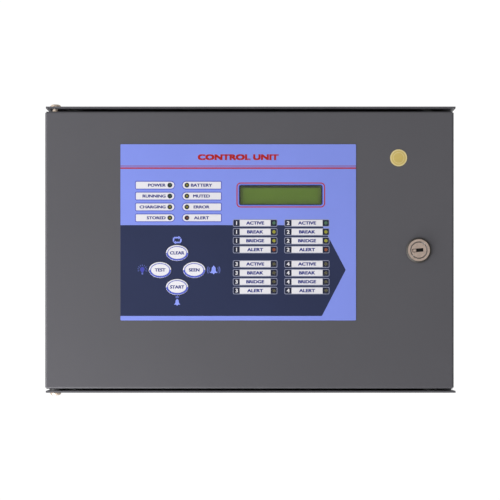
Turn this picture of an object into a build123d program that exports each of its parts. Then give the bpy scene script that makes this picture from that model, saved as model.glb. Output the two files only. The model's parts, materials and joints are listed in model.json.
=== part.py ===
from build123d import *
import math
import os

# A wall-mounted fire alarm control panel: a sheet-steel cabinet with a hinged door, which carries
# the display, the lamps, the keys and a cam lock, and a main board, a transformer and two
# batteries inside. Millimetres, X to the right of a person facing the door, Y into the wall,
# Z up. The origin is the centre of the cabinet's back face.

# ---- Cabinet -------------------------------------------------------------------------------
width = 325.0
height = 227.0
depth = 85.0
plate_sheet = 1.5
pan_sheet = 1.2
side_inset = 0.8
lip_width = 10.0
lip_setback = 18.5
bend_radius = 1.2
flange_height = 8.0
flange_length = 280.0
wall_hole_spacing = (300.0, 200.0)
wall_hole_radius = 3.0

entry_pitch = 60.0
entry_y = -40.0
entry_hole_radius = 10.0
grommet_bore_radius = 7.0
grommet_flange_radius = 13.0
grommet_flange = 2.5
knockout_groove = 0.6

# ---- Door ----------------------------------------------------------------------------------
door_sheet = 1.2
door_gap_above = 2.3
door_gap_below = 1.6
door_width = 324.4
door_shift = -1.0
door_return = 15.0
door_bend = 1.8
corner_notch = 1.0
running_gap = 0.05

pivot_from_edge = 7.8
pivot_setback = 6.0
hinge_screw_radius = 2.5
hinge_head_radius = 4.4
hinge_head_height = 2.2
hinge_nut_width = 8.0
hinge_nut_height = 4.5
hinge_nut_gap = 0.4
hinge_washer_radius = 5.0

# ---- Overlay, window, lamps and keys -------------------------------------------------------
film = 0.3
overlay_size = (186.7, 139.7)
overlay_centre = (-9.9, 13.7)
window_size = (65.8, 15.7)
window_centre = (23.8, 43.3)
window_corner = 1.6
window_rim = 1.1

lamp_radius = 1.5
lamp_flange_radius = 1.9
lamp_hole_radius = 1.95
status_lamp_x = (-64.1, -50.6)
status_top = 51.1
status_pitch = 8.63
zone_lamp_x = (18.4, 59.6)
zone_tops = (21.1, -11.4)
zone_pitch = 7.03
zone_hole = (4.3, 4.0)
status_window_radius = 1.05
zone_window = (2.9, 2.9)

key_centre = (-58.3, -16.1)
key_pitch = 13.5
key_half_axes = (9.0, 6.45)
key_gap = 0.15
key_stand = 0.45
key_flange_extra = 1.2
key_flange = 1.0
key_stem_radius = 2.0

sticker_centre = (117.3, 72.8)
sticker_radius = 6.75

# ---- Lock ----------------------------------------------------------------------------------
lock_centre = (133.1, -0.5)
lock_flange_radius = 10.0
lock_face_radius = 8.7
lock_flange = 2.5
lock_barrel_radius = 8.0
lock_barrel_flat = 14.0
lock_groove_radius = 6.6
lock_groove_depth = 1.2
plug_radius = 5.65
plug_slot = (8.7, 2.8, 10.0)
plug_slot_shift = -0.8
plug_slot_tilt = 5.0
cam_reach = 24.0
cam_width = 14.0
cam_sheet = 2.0
cam_gap = 0.5

# ---- Boards --------------------------------------------------------------------------------
board_sheet = 1.6
board_low = (-125.0, -38.0)
board_high = (125.0, 80.0)
board_standoff = 8.0
display_low = (-101.0, -54.0)
display_high = (81.0, 81.0)
display_standoff = 12.0
screw_inset = 6.0
buzzer_centre = (69.0, -37.0)
buzzer_radius = 6.0

lcd_bezel_size = (71.2, 26.8)
lcd_opening = (66.4, 16.3)
lcd_board_size = (80.0, 36.0)
lcd_pin_strip = (40.6, 2.5)
lcd_pin_rise = 15.5
lcd_setback = 0.3
lcd_depth = 7.5
bezel_sheet = 0.6

# ---- Pieces on the main board --------------------------------------------------------------
terminal_pitch = 5.08
terminal_deep, terminal_tall = 11.0, 12.5
zone_terminal_xs = (-36.0, 5.0, 37.0, 69.0)
zone_terminal_z = 67.0
battery_terminal_x = 86.0
transformer_terminal_x = -114.5
mains_terminal_place = (-114.0, 56.0)
mains_pitch, mains_deep, mains_tall = 9.5, 16.0, 17.0
fuse_xs = (-80.0, -64.0, -48.0)
capacitors = ((-32, -14, 8, 25), (-13, -14, 8, 25), (2, -24, 5, 12))  # x, z, radius, height
regulator_xs = (-87.0, -63.0)
relay_xs = (50.0, 73.0, 96.0)
relay_low_z, relay_high_z = 40.0, 55.5
relay_size = (19.0, 15.5)
chips = ((50, 12, 52, 14), (-5, 34, 20, 7), (-5, 20, 20, 7), (104, 12, 36, 15))  # x, z, long, wide
header_size = (9.0, 28.0)
header_tall, plug_tall = 9.0, 15.6

# ---- Batteries and transformer -------------------------------------------------------------
battery_size = (97.0, 43.0, 52.0)
battery_first_x = -52.0
battery_space = 1.5
battery_back = -3.5
battery_tab = (4.75, 0.8, 6.35)
strap_sheet = 1.0
strap_low, strap_high = -94.0, -76.0
strap_foot = 12.0

transformer_centre = (-112.0, -84.0)
core_size = (57.0, 48.0, 22.0)
core_back = -14.0
coil_stand = 7.0
bracket_sheet = 1.2
winding_slack = 0.2

# ---- Wires ---------------------------------------------------------------------------------
wire_radius = 1.2
transformer_wire_radius = 0.9
sleeve_half = (3.6, 1.9)
tag_length = 8.0
earth_place = (-143.0, 94.0)
door_earth_place = (-137.0, 94.0)
main_header = (-117.0, -6.0)
door_header = (-92.0, -6.0)
ribbon_thick = 1.0
ribbon_inset = 1.6
plug_inset = 1.2
buffer_z = 70.0
tab_inset = (9.0, 10.0)

# ---- Derived places ------------------------------------------------------------------------
front = -depth
plate_inside = height / 2 - plate_sheet
pan_half = width / 2 - side_inset
lip_front = front + lip_setback
door_high = plate_inside - door_gap_above
door_low = -plate_inside + door_gap_below
door_left = door_shift - door_width / 2
door_right = door_shift + door_width / 2
door_back = front + door_sheet
door_end = front + door_return
pivot_x = door_left + pivot_from_edge
pivot_y = front + pivot_setback
board_back = -pan_sheet - board_standoff
board_front = board_back - board_sheet
display_front = door_back + display_standoff
display_back = display_front + board_sheet
cam_front = lip_front + pan_sheet + cam_gap
lcd_front = door_back + lcd_setback
lcd_board_front = lcd_front + lcd_depth
battery_xs = [battery_first_x, battery_first_x + battery_size[0] + battery_space]
battery_top = -plate_inside + battery_size[2]
battery_front = battery_back - battery_size[1]
lead_height = battery_top + 5.5
# Tabs stand in the near corners of the two cases. The front pair is linked, and the back pair
# feeds the board.
tab_xs = [battery_xs[0] + battery_size[0] - tab_inset[0], battery_xs[1] + tab_inset[0]]
tab_ys = [battery_front + tab_inset[1], battery_back - tab_inset[1]]


# ---- Small helpers -------------------------------------------------------------------------
def block(low, high):
    """A block between two opposite corners."""
    size = [b - a for a, b in zip(low, high)]
    middle = [(a + b) / 2 for a, b in zip(low, high)]
    return Pos(*middle) * Box(*size)


def rod_y(x, z, radius, y_from, y_to):
    """A cylinder along Y."""
    return Pos(x, (y_from + y_to) / 2, z) * Rot(90, 0, 0) * Cylinder(radius, abs(y_to - y_from))


def rod_z(x, y, radius, z_from, z_to):
    """A cylinder along Z."""
    return Pos(x, y, (z_from + z_to) / 2) * Cylinder(radius, abs(z_to - z_from))


def slab(sketch, x, z, y_back, y_front):
    """A flat shape facing the viewer, from y_back forward to y_front."""
    plane = Plane(origin=(0, y_back, 0), x_dir=(1, 0, 0), z_dir=(0, -1, 0))
    return extrude(plane * Pos(x, z) * sketch, amount=y_back - y_front)


def hexagon(across_flats):
    """A hexagon by its width across the flats."""
    return RegularPolygon(across_flats / 2, 6, major_radius=False)


def pan_screw(x, z, y_seat, head_radius, head_height, shank_radius, shank_length):
    """A pan-head screw driven along +Y, its head seated at y_seat."""
    head = rod_y(x, z, head_radius, y_seat, y_seat - head_height)
    head = fillet(head.edges().group_by(Axis.Y)[0], head_height * 0.6)
    cross = sum(
        [
            slab(Rectangle(*arms), x, z, y_seat - head_height * 0.4, y_seat - head_height - 1)
            for arms in ((head_radius, 0.7), (0.7, head_radius))
        ],
        Part(),
    )
    return head - cross + rod_y(x, z, shank_radius, y_seat, y_seat + shank_length)


def bent_strip(points, radius, sheet, z_low, z_high):
    """Sheet bent along a line of XY points, standing between two heights."""
    line = FilletPolyline(*[(x, y, z_low) for x, y in points], radius=radius)
    return extrude(trace(line, sheet), amount=z_high - z_low, dir=(0, 0, 1))


def route(points, name):
    """Straight runs joined by the largest tangent arcs that they allow."""
    vectors = [Vector(*p) for p in points]
    radii = []
    for before, corner, after in zip(vectors, vectors[1:], vectors[2:]):
        turn = math.radians((corner - before).get_angle(after - corner))
        shorter = min((corner - before).length, (after - corner).length)
        radii.append(0.45 * shorter / math.tan(turn / 2))
    print(name, "bend radii", [round(r, 1) for r in radii])
    return FilletPolyline(*points, radius=radii)


def wire(points, radius, name):
    """A round wire along a route, compared with its section times its length."""
    path = route(points, name)
    section = Plane(origin=path @ 0, z_dir=path % 0) * Circle(radius)
    tube = sweep(section, path=path)
    expected = math.pi * radius**2 * path.length
    print(name, "volume over section times length", round(tube.volume / expected, 4))
    return tube


def write(name, *solids):
    """Writes one node."""
    flat = [solid for shape in solids for solid in shape.solids()]
    shape = flat[0] if len(flat) == 1 else Compound(flat)
    export_step(shape, f"parts/{name}.step")


# ---- Cabinet -------------------------------------------------------------------------------
def back_pan():
    """Back wall, side walls and front lips, bent from one sheet."""
    side = pan_half - pan_sheet / 2
    lip_y = lip_front + pan_sheet / 2
    line = [
        (-pan_half + lip_width, lip_y),
        (-side, lip_y),
        (-side, -pan_sheet / 2),
        (side, -pan_sheet / 2),
        (side, lip_y),
        (pan_half - lip_width, lip_y),
    ]
    pan = bent_strip(line, bend_radius, pan_sheet, -plate_inside, plate_inside)
    for x in (-wall_hole_spacing[0] / 2, wall_hole_spacing[0] / 2):
        for z in (-wall_hole_spacing[1] / 2, wall_hole_spacing[1] / 2):
            pan -= rod_y(x, z, wall_hole_radius, 1, -pan_sheet - 1)
    return pan


def entry_places():
    """X of the four round cable entries, and whether each is open."""
    return [(entry_pitch * (i - 1.5), i % 2 == 0) for i in range(4)]


def end_plate(top):
    """Top or bottom plate, reaching forward level with the door, with a weld flange at the back."""
    inner, outer = plate_inside, height / 2
    plate = block((-width / 2, front, inner), (width / 2, 0, outer))
    plate += block(
        (-flange_length / 2, -pan_sheet - plate_sheet, inner - flange_height),
        (flange_length / 2, -pan_sheet, inner),
    )
    plate -= rod_z(pivot_x, pivot_y, hinge_screw_radius + running_gap, inner - 1, outer + 1)
    if not top:
        return mirror(plate, about=Plane.XY)
    for x, is_open in entry_places():
        if is_open:
            plate -= rod_z(x, entry_y, entry_hole_radius, inner - 1, outer + 1)
        else:
            ring = rod_z(x, entry_y, entry_hole_radius, outer - knockout_groove, outer + 1)
            plate -= ring - rod_z(x, entry_y, entry_hole_radius - 0.8, inner, outer + 1)
    return plate


def grommet(x):
    """A rubber grommet seated in one open cable entry of the top plate."""
    low, high = plate_inside - grommet_flange, height / 2 + grommet_flange
    body = rod_z(x, entry_y, grommet_flange_radius, low, plate_inside)
    body += rod_z(x, entry_y, grommet_flange_radius, height / 2, high)
    rims = body.edges().filter_by(GeomType.CIRCLE)
    body = fillet(rims.group_by(Axis.Z)[0] + rims.group_by(Axis.Z)[-1], 0.8)
    body += rod_z(x, entry_y, entry_hole_radius, low, high)
    return body - rod_z(x, entry_y, grommet_bore_radius, low - 1, high + 1)


def door_edge(side):
    """How far the door reaches above the middle, or below it where side is -1."""
    return door_high if side > 0 else -door_low


def hinge_screw(side):
    """A pan-head pivot screw through an end plate and the door's return; side is 1 or -1."""
    seat = height / 2
    tip = door_edge(side) - door_sheet - hinge_nut_gap - hinge_nut_height - 1
    screw = rod_z(pivot_x, pivot_y, hinge_head_radius, seat, seat + hinge_head_height)
    screw = fillet(screw.edges().group_by(Axis.Z)[-1], hinge_head_height * 0.9)
    for arms in ((5.0, 1.0), (1.0, 5.0)):
        slot = Pos(pivot_x, pivot_y, seat + hinge_head_height) * Box(*arms, 2.4)
        screw -= slot
    screw += rod_z(pivot_x, pivot_y, hinge_screw_radius, tip, seat)
    return screw if side > 0 else mirror(screw, about=Plane.XY)


def hinge_nut(side):
    """The lock nut on a pivot screw, just inside the door's return."""
    high = door_edge(side) - door_sheet - hinge_nut_gap
    nut = extrude(
        Pos(pivot_x, pivot_y, high - hinge_nut_height) * hexagon(hinge_nut_width),
        amount=hinge_nut_height,
    )
    nut -= rod_z(pivot_x, pivot_y, hinge_screw_radius, 0, high + 1)
    return nut if side > 0 else mirror(nut, about=Plane.XY)


def hinge_washer():
    """The thick washer that carries the door on the bottom plate."""
    low, high = -plate_inside, door_low - running_gap
    ring = rod_z(pivot_x, pivot_y, hinge_washer_radius, low, high)
    return ring - rod_z(pivot_x, pivot_y, hinge_screw_radius + running_gap, low - 1, high + 1)


def door_buffer(z):
    """A rubber buffer on the right lip, behind the door's free edge."""
    stop = rod_y(door_right - 3.2, z, 3.0, lip_front, door_end + 0.1)
    return fillet(stop.edges().group_by(Axis.Y)[0], 1.2)


def earth_stud(x, z):
    """A welded stud with its nut and washer on the back wall."""
    stud = rod_y(x, z, 2.0, -pan_sheet, -pan_sheet - 14)
    washer = rod_y(x, z, 4.5, -pan_sheet, -pan_sheet - 1)
    nut = slab(hexagon(7.0), x, z, -pan_sheet - 3.2, -pan_sheet - 6.4)
    return stud + washer + nut


# ---- Main board and what stands on it ------------------------------------------------------
def corner_places(low, high, middles):
    """Screw places inset from a board's corners, with one more pair at each X in middles."""
    xs = [low[0] + screw_inset, high[0] - screw_inset, *middles]
    return [(x, z) for x in xs for z in (low[1] + screw_inset, high[1] - screw_inset)]


board_screws = corner_places(board_low, board_high, [0.0])
display_screws = corner_places(display_low, display_high, [])


def main_board():
    high = (board_high[0], board_back, board_high[1])
    board = block((board_low[0], board_front, board_low[1]), high)
    for x, z in board_screws:
        board -= rod_y(x, z, 1.6, board_back + 1, board_front - 1)
    return board


def board_standoff_at(x, z):
    post = slab(hexagon(5.5), x, z, -pan_sheet, board_back)
    return post - rod_y(x, z, 1.55, board_back + 6, board_back - 1)


def on_board(x_low, x_high, z_low, z_high, tall):
    """A block standing on the main board."""
    return block((x_low, board_front - tall, z_low), (x_high, board_front, z_high))


def terminal_block(x_low, z_low, ways, pitch, deep, tall, mouth):
    """A screw terminal block: a hole over each screw, and a wire mouth on its top or bottom side."""
    body = on_board(x_low, x_low + ways * pitch, z_low, z_low + deep, tall)
    body = chamfer(body.edges().filter_by(Axis.X).group_by(Axis.Y)[0], 1.0)
    mouth_z = z_low + deep if mouth > 0 else z_low
    for i in range(ways):
        x = x_low + (i + 0.5) * pitch
        top = board_front - tall
        body -= rod_y(x, z_low + deep / 2, pitch * 0.33, top - 1, top + 3)
        hole = Box(pitch * 0.62, tall * 0.3, 6.0)
        body -= Pos(x, board_front - tall * 0.35, mouth_z) * hole
    return body


def fuse_holder(x):
    """A moulded fuse base with two spring clips."""
    base = on_board(x - 4.5, x + 4.5, 50, 74, 3)
    clip_front = board_front - 9.5
    for z in (53.5, 70.5):
        for side in (-1, 1):
            low = (x + side * 3.2 - 0.4, clip_front, z - 2.5)
            base += block(low, (low[0] + 0.8, board_front - 3, z + 2.5))
    return base


def glass_fuse(x):
    return Pos(x, board_front - 6.4, 62) * Cylinder(2.6, 20)


def capacitor(x, z, radius, tall):
    """An electrolytic can with a rolled groove near its foot."""
    can = rod_y(x, z, radius, board_front, board_front - tall)
    can = fillet(can.edges().group_by(Axis.Y)[0], 0.8)
    groove = rod_y(x, z, radius + 1, board_front - 3, board_front - 4)
    return can - (groove - rod_y(x, z, radius - 0.5, board_front - 3, board_front - 4))


def heat_sink():
    """A finned aluminium sink standing on the board, fins upward."""
    sink = on_board(-100, -50, -16, -13, 24)
    for i in range(9):
        x = -99.4 + i * 6.05
        sink += on_board(x, x + 1.2, -13, -2, 24)
    return sink


def regulator(x):
    """A power regulator: plastic body and metal tab, flat against the sink."""
    body = on_board(x - 5, x + 5, -20.5, -16, 13)
    tab = block((x - 5, board_front - 19.5, -17.3), (x + 5, board_front - 13, -16))
    legs = [on_board(x + step - 0.35, x + step + 0.35, -18.6, -18.1, 4) for step in (-2.54, 0, 2.54)]
    body = body - on_board(x - 6, x + 6, -21, -16, 4)
    return sum(legs, body + tab)


def relay(x_low):
    """A sealed relay, a plain moulded case."""
    wide, tall = relay_size
    return on_board(x_low, x_low + wide, relay_low_z, relay_high_z, tall)


def chip(x, z, long, wide):
    """A dual-in-line chip with its rows of legs along its upper and lower edges."""
    low = (x - long / 2, board_front - 4.6, z - wide / 2)
    body = block(low, (x + long / 2, board_front - 0.8, z + wide / 2))
    count = int(long / 2.54)
    for i in range(count):
        leg_x = x + (i - (count - 1) / 2) * 2.54
        for side in (-1, 1):
            edge = z + side * wide / 2
            body += on_board(leg_x - 0.4, leg_x + 0.4, edge - 0.45, edge + 0.45, 3)
    return body


def ribbon_header(x_low, z_low, y_board, facing):
    """A box header with its plug on it; facing is -1 where it stands towards the door."""
    def part(inset, near, far):
        ends = sorted((y_board + facing * near, y_board + facing * far))
        low = (x_low + inset, ends[0], z_low + inset)
        return block(low, (x_low + header_size[0] - inset, ends[1], z_low + header_size[1] - inset))
    return part(0, 0, header_tall), part(plug_inset, header_tall, plug_tall)


# ---- Transformer ---------------------------------------------------------------------------
def transformer():
    """A laminated core, its winding round the middle leg, and the saddle that holds both."""
    x, z = transformer_centre
    wide, tall, thick = core_size
    core_front = core_back - thick
    leg = wide / 3
    core = block((x - wide / 2, core_front, z - tall / 2), (x + wide / 2, core_back, z + tall / 2))
    for side in (-1, 1):
        window = Box(wide / 6, thick + 2, tall * 0.6)
        core -= Pos(x + side * wide / 4, (core_front + core_back) / 2, z) * window
    half = (wide / 3 - winding_slack, tall * 0.3 - winding_slack)
    coil = block(
        (x - half[0], core_front - coil_stand, z - half[1]),
        (x + half[0], core_back + coil_stand, z + half[1]),
    )
    coil -= block(
        (x - leg / 2 - winding_slack, core_front - winding_slack, z - tall),
        (x + leg / 2 + winding_slack, core_back + winding_slack, z + tall),
    )
    outer_edges = coil.edges().filter_by(Axis.Z)
    outer_edges = outer_edges.group_by(Axis.Y)[0] + outer_edges.group_by(Axis.Y)[-1]
    coil = fillet(outer_edges, 2.5)

    face = core_front - bracket_sheet
    side_x = wide / 2 + bracket_sheet
    saddle = block((x - side_x, face, z - tall / 2), (x + side_x, core_front, z + tall / 2))
    high = (x + half[0] + 1, core_front + 1, z + half[1] + 1)
    saddle -= block((x - half[0] - 1, face - 1, z - half[1] - 1), high)
    for side in (-1, 1):
        inner, outer = sorted((x + side * wide / 2, x + side * side_x))
        saddle += block((inner, face, z - 9), (outer, -pan_sheet, z + 9))
        toe = sorted((x + side * side_x, x + side * (side_x + 10.5)))
        foot = block((toe[0], -pan_sheet - bracket_sheet, z - 9), (toe[1], -pan_sheet, z + 9))
        saddle += foot - rod_y(x + side * (side_x + 5.5), z, 2.2, 1, -10)
    return core, coil, saddle


def transformer_screw_places():
    x, z = transformer_centre
    reach = core_size[0] / 2 + bracket_sheet + 5.5
    return [(x - reach, z), (x + reach, z)]


# ---- Batteries -----------------------------------------------------------------------------
def battery(x_low):
    """A sealed lead-acid battery: a moulded case with a shallow lid and rounded edges."""
    high = (x_low + battery_size[0], battery_back, battery_top)
    case = block((x_low, battery_front, -plate_inside), high)
    case = fillet(case.edges().filter_by(Axis.Z), 2.0)
    line = block(
        (x_low - 1, battery_front - 1, battery_top - 9),
        (x_low + battery_size[0] + 1, battery_back + 1, battery_top - 8.2),
    )
    inner = block(
        (x_low + 0.6, battery_front + 0.6, battery_top - 10),
        (x_low + battery_size[0] - 0.6, battery_back - 0.6, battery_top),
    )
    return case - (line - inner)


def battery_tab_at(x, y):
    half_x, half_y = battery_tab[0] / 2, battery_tab[1] / 2
    high = (x + half_x, y + half_y, battery_top + battery_tab[2])
    return block((x - half_x, y - half_y, battery_top), high)


def tab_sleeve(x, y, tall):
    """The insulated push-on connector over one battery tab."""
    low = battery_top + 0.4
    half_x, half_y = sleeve_half
    sleeve = block((x - half_x, y - half_y, low), (x + half_x, y + half_y, battery_top + tall))
    return sleeve - block((x - 2.5, y - 0.5, low - 1), (x + 2.5, y + 0.5, battery_top + 7))


def battery_strap():
    """A flat band over the batteries' fronts, with a foot each side on the back wall."""
    half = strap_sheet / 2
    left = battery_xs[0] - 0.6 - half
    right = battery_xs[1] + battery_size[0] + 0.6 + half
    face = battery_front - 0.1 - half
    wall = -pan_sheet - half
    line = [
        (left - strap_foot, wall),
        (left, wall),
        (left, face),
        (right, face),
        (right, wall),
        (right + strap_foot, wall),
    ]
    strap = bent_strip(line, 1.5, strap_sheet, strap_low, strap_high)
    for x, z in strap_screw_places():
        strap -= rod_y(x, z, 2.2, 1, -10)
    return strap


def strap_screw_places():
    middle = (strap_low + strap_high) / 2
    left = battery_xs[0] - 0.6 - strap_foot / 2 - 1
    right = battery_xs[1] + battery_size[0] + 0.6 + strap_foot / 2 + 1
    return [(left, middle), (right, middle)]


# ---- Door ----------------------------------------------------------------------------------
def status_lamps():
    return [(x, status_top - i * status_pitch) for x in status_lamp_x for i in range(4)]


def zone_lamps(top):
    return [(x, top - i * zone_pitch) for x in zone_lamp_x for i in range(4)]


def key_places():
    x, z = key_centre
    return {
        "key_reset": (x, z + key_pitch),
        "key_lamp": (x - key_pitch, z),
        "key_acknowledge": (x + key_pitch, z),
        "key_alarm": (x, z - key_pitch),
    }


def front_openings(y_back, y_front, in_film):
    """What is cut through the door's face or, with smaller windows, through the film on it."""
    rim = 0 if in_film else window_rim
    size = [length + 2 * rim for length in window_size]
    cuts = [slab(RectangleRounded(*size, window_corner), *window_centre, y_back, y_front)]
    for x, z in status_lamps():
        radius = status_window_radius if in_film else lamp_hole_radius
        cuts.append(rod_y(x, z, radius, y_back, y_front))
    for top in zone_tops:
        for x, z in zone_lamps(top):
            hole = zone_window if in_film else zone_hole
            cuts.append(slab(RectangleRounded(*hole, 0.4), x, z, y_back, y_front))
    for x, z in key_places().values():
        cuts.append(slab(Ellipse(*key_half_axes), x, z, y_back, y_front))
    return cuts


def barrel_section(radius, flat):
    """A circle with two flats, left and right."""
    return Circle(radius) & Rectangle(flat, 4 * radius)


def door_panel():
    """The door: one sheet with returns bent back all round and open corners."""
    shell = block((door_left, front, door_low), (door_right, door_end, door_high))
    shell = fillet(shell.edges().group_by(Axis.Y)[0], door_bend)
    hollow = block(
        (door_left + door_sheet, door_back, door_low + door_sheet),
        (door_right - door_sheet, door_end + 5, door_high - door_sheet),
    )
    hollow = fillet(hollow.edges().group_by(Axis.Y)[0], door_bend - door_sheet)
    shell -= hollow
    for x in (door_left, door_right):
        for z in (door_low, door_high):
            shell -= Pos(x, (front + door_end) / 2, z) * Box(2 * corner_notch, 40, 2 * corner_notch)
    for cut in front_openings(door_back + 1, front - 1, False):
        shell -= cut
    hole = barrel_section(lock_barrel_radius + 0.1, lock_barrel_flat + 0.2)
    shell -= slab(hole, *lock_centre, door_back + 1, front - 1)
    for z in (door_low, door_high):
        shell -= rod_z(pivot_x, pivot_y, hinge_screw_radius + running_gap, z - 3, z + 3)
    shell += rod_y(*door_earth_place, 2.0, door_back, door_back + 12)
    return shell


def overlay():
    """The printed film bonded to the door's face."""
    sheet = slab(RectangleRounded(*overlay_size, 0.8), *overlay_centre, front, front - film)
    for cut in front_openings(front + 1, front - film - 1, True):
        sheet -= cut
    return sheet


def lamp(x, z):
    """A 3 mm light-emitting diode on its two leads."""
    tip = front
    body = rod_y(x, z, lamp_radius, tip + lamp_radius, tip + 4.4)
    body += Pos(x, tip + lamp_radius, z) * Sphere(lamp_radius)
    body += rod_y(x, z, lamp_flange_radius, tip + 4.4, tip + 5.4)
    for side in (-1, 1):
        body += rod_y(x + side * 1.27, z, 0.25, tip + 5.4, display_front)
    return body


def key(x, z):
    """An oval key with a captive flange and a stem, and the switch plunger under it."""
    cap_front = front - film - key_stand
    flange_front = door_back + running_gap
    flange_back = flange_front + key_flange
    half = [a - key_gap for a in key_half_axes]
    cap = slab(Ellipse(*half), x, z, flange_front, cap_front)
    cap = fillet(cap.edges().group_by(Axis.Y)[0], 0.35)
    rim = [a + key_flange_extra for a in key_half_axes]
    cap += slab(Ellipse(*rim), x, z, flange_back, flange_front)
    stem_end = display_front - 5.2
    cap += rod_y(x, z, key_stem_radius, flange_back, stem_end)
    plunger = rod_y(x, z, 1.75, stem_end, stem_end + 2.0)
    return cap, plunger


def tact_switch(x, z):
    """A square push switch with a well for its plunger."""
    body = block((x - 3, display_front - 3.5, z - 3), (x + 3, display_front, z + 3))
    return body - rod_y(x, z, 1.85, display_front - 4, display_front - 2.4)


def display_board():
    high = (display_high[0], display_back, display_high[1])
    board = block((display_low[0], display_front, display_low[1]), high)
    for x, z in display_screws:
        board -= rod_y(x, z, 1.6, display_front - 1, display_back + 1)
    return board


def display_stud(x, z):
    """A hexagonal spacer welded to the door, ending in a thread through the board."""
    post = slab(hexagon(5.5), x, z, display_front, door_back)
    return post + rod_y(x, z, 1.5, display_front, display_back + 5)


def display_nut(x, z):
    nut = slab(hexagon(5.5), x, z, display_back + 2.4, display_back)
    return nut - rod_y(x, z, 1.5, display_back - 1, display_back + 4)


def lcd_bezel():
    """The display's metal frame, open at the back."""
    frame = slab(RectangleRounded(*lcd_bezel_size, 1.0), *window_centre, lcd_board_front, lcd_front)
    inner = [length - 2 * bezel_sheet for length in lcd_bezel_size]
    frame -= slab(Rectangle(*inner), *window_centre, lcd_board_front + 1, lcd_front + bezel_sheet)
    return frame - slab(Rectangle(*lcd_opening), *window_centre, lcd_board_front, lcd_front - 1)


def lcd_cell():
    """The display's glass, and the light guide behind it."""
    inner = [length - 2 * bezel_sheet - 0.3 for length in lcd_bezel_size]
    glass_front = lcd_front + bezel_sheet + 0.05
    glass = slab(Rectangle(*inner), *window_centre, glass_front + 2.6, glass_front)
    guide = slab(Rectangle(*inner), *window_centre, lcd_board_front - 0.1, glass_front + 2.7)
    return glass, guide


def lcd_board():
    """The display's own small board, and the pin strip that joins it to the display board."""
    x, z = window_centre
    board = slab(Rectangle(*lcd_board_size), x, z, lcd_board_front + board_sheet, lcd_board_front)
    strip_front = lcd_board_front + board_sheet
    strip = slab(Rectangle(*lcd_pin_strip), x, z + lcd_pin_rise, display_front, strip_front)
    return board, strip


def buzzer():
    """A round sounder with a small hole in its lid."""
    can = rod_y(*buzzer_centre, buzzer_radius, display_front, display_front - 9.5)
    can = fillet(can.edges().group_by(Axis.Y)[0], 0.6)
    return can - rod_y(*buzzer_centre, 1, display_front - 8, display_front - 10)


def sticker():
    return rod_y(*sticker_centre, sticker_radius, front, front - 0.15)


# ---- Lock ----------------------------------------------------------------------------------
def lock_body():
    """A cam lock's body: bevelled flange on the door's face and a threaded barrel with two flats."""
    x, z = lock_centre
    face = front - lock_flange
    flange = rod_y(x, z, lock_flange_radius, front, face)
    bevel = lock_flange_radius - lock_face_radius
    flange = chamfer(flange.edges().group_by(Axis.Y)[0], bevel)
    barrel = slab(barrel_section(lock_barrel_radius, lock_barrel_flat), x, z, cam_front - 1.2, front)
    body = flange + barrel
    body -= rod_y(x, z, plug_radius + running_gap, face - 1, 0)
    return body - rod_y(x, z, lock_groove_radius, face - 1, face + lock_groove_depth)


def lock_nut():
    x, z = lock_centre
    nut = slab(hexagon(22.0), x, z, door_back + 3.5, door_back)
    return nut - rod_y(x, z, lock_barrel_radius + 0.02, door_back - 1, door_back + 5)


def lock_plug():
    """The turning plug: a key slot in its face and a square tail for the cam."""
    x, z = lock_centre
    face = front - lock_flange + 0.2
    long, wide, deep = plug_slot
    plug = rod_y(x, z, plug_radius, face, cam_front - 1.0)
    plug = fillet(plug.edges().group_by(Axis.Y)[0], 0.3)
    plug += slab(Rectangle(7.0, 7.0), x, z, cam_front + cam_sheet, cam_front - 1.0)
    slot = Rot(0, 0, plug_slot_tilt) * Pos(plug_slot_shift, 0) * RectangleRounded(long, wide, 0.4)
    return plug - slab(slot, x, z, face + deep, face - 1)


def lock_cam():
    """The cam: a flat bar on the plug's square tail, pointing down while the door is free."""
    x, z = lock_centre
    shape = Circle(cam_width / 2)
    shape += Pos(0, -cam_reach / 2) * Rectangle(cam_width, cam_reach)
    shape -= Rectangle(7.1, 7.1)
    cam = slab(shape, x, z, cam_front + cam_sheet, cam_front)
    corners = cam.edges().filter_by(Axis.Y).group_by(Axis.Z)[0]
    return fillet(corners, 2.5)


def cam_screw():
    x, z = lock_centre
    seat = cam_front + cam_sheet
    head = slab(hexagon(8.0), x, z, seat + 3.0, seat + 1.0)
    washer = rod_y(x, z, 5.5, seat, seat + 1.0)
    return head + washer


# ---- Wires ---------------------------------------------------------------------------------
def ribbon_cable():
    """The flat cable from the main board to the door, looped by the hinge."""
    main_y = board_front - 12.0
    door_y = display_back + 12.0
    line = route(
        [
            (main_header[0] + plug_inset, main_y, 0),
            (-135, main_y, 0),
            (-148, main_y - 11, 0),
            (-148, door_y + 11, 0),
            (-135, door_y, 0),
            (door_header[0] + plug_inset, door_y, 0),
        ],
        "ribbon",
    )
    low = main_header[1] + ribbon_inset
    wide = header_size[1] - 2 * ribbon_inset
    return Pos(0, 0, low) * extrude(trace(line, ribbon_thick), amount=wide, dir=(0, 0, 1))


def earth_lead():
    """The flexible earth lead from the cabinet's stud to the door's stud."""
    cabinet_y = -pan_sheet - 2.1
    door_y = door_back + 2.1
    x, z = earth_place
    door_x, door_z = door_earth_place
    start = tag_length
    lead = wire(
        [
            (x, cabinet_y, z - start),
            (x, cabinet_y - 0.5, z - 20),
            (x - 3, cabinet_y - 10, z - 32),
            (x - 5, cabinet_y - 26, z - 38),
            (x - 5, cabinet_y - 44, z - 37),
            (x - 3, cabinet_y - 60, z - 30),
            (door_x - 1, door_y + 4, z - 19),
            (door_x, door_y, door_z - start),
        ],
        wire_radius,
        "earth lead",
    )
    tags = [earth_tag(x, cabinet_y, z), earth_tag(door_x, door_y, door_z)]
    return [lead - tags[0] - tags[1], *tags]


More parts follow.
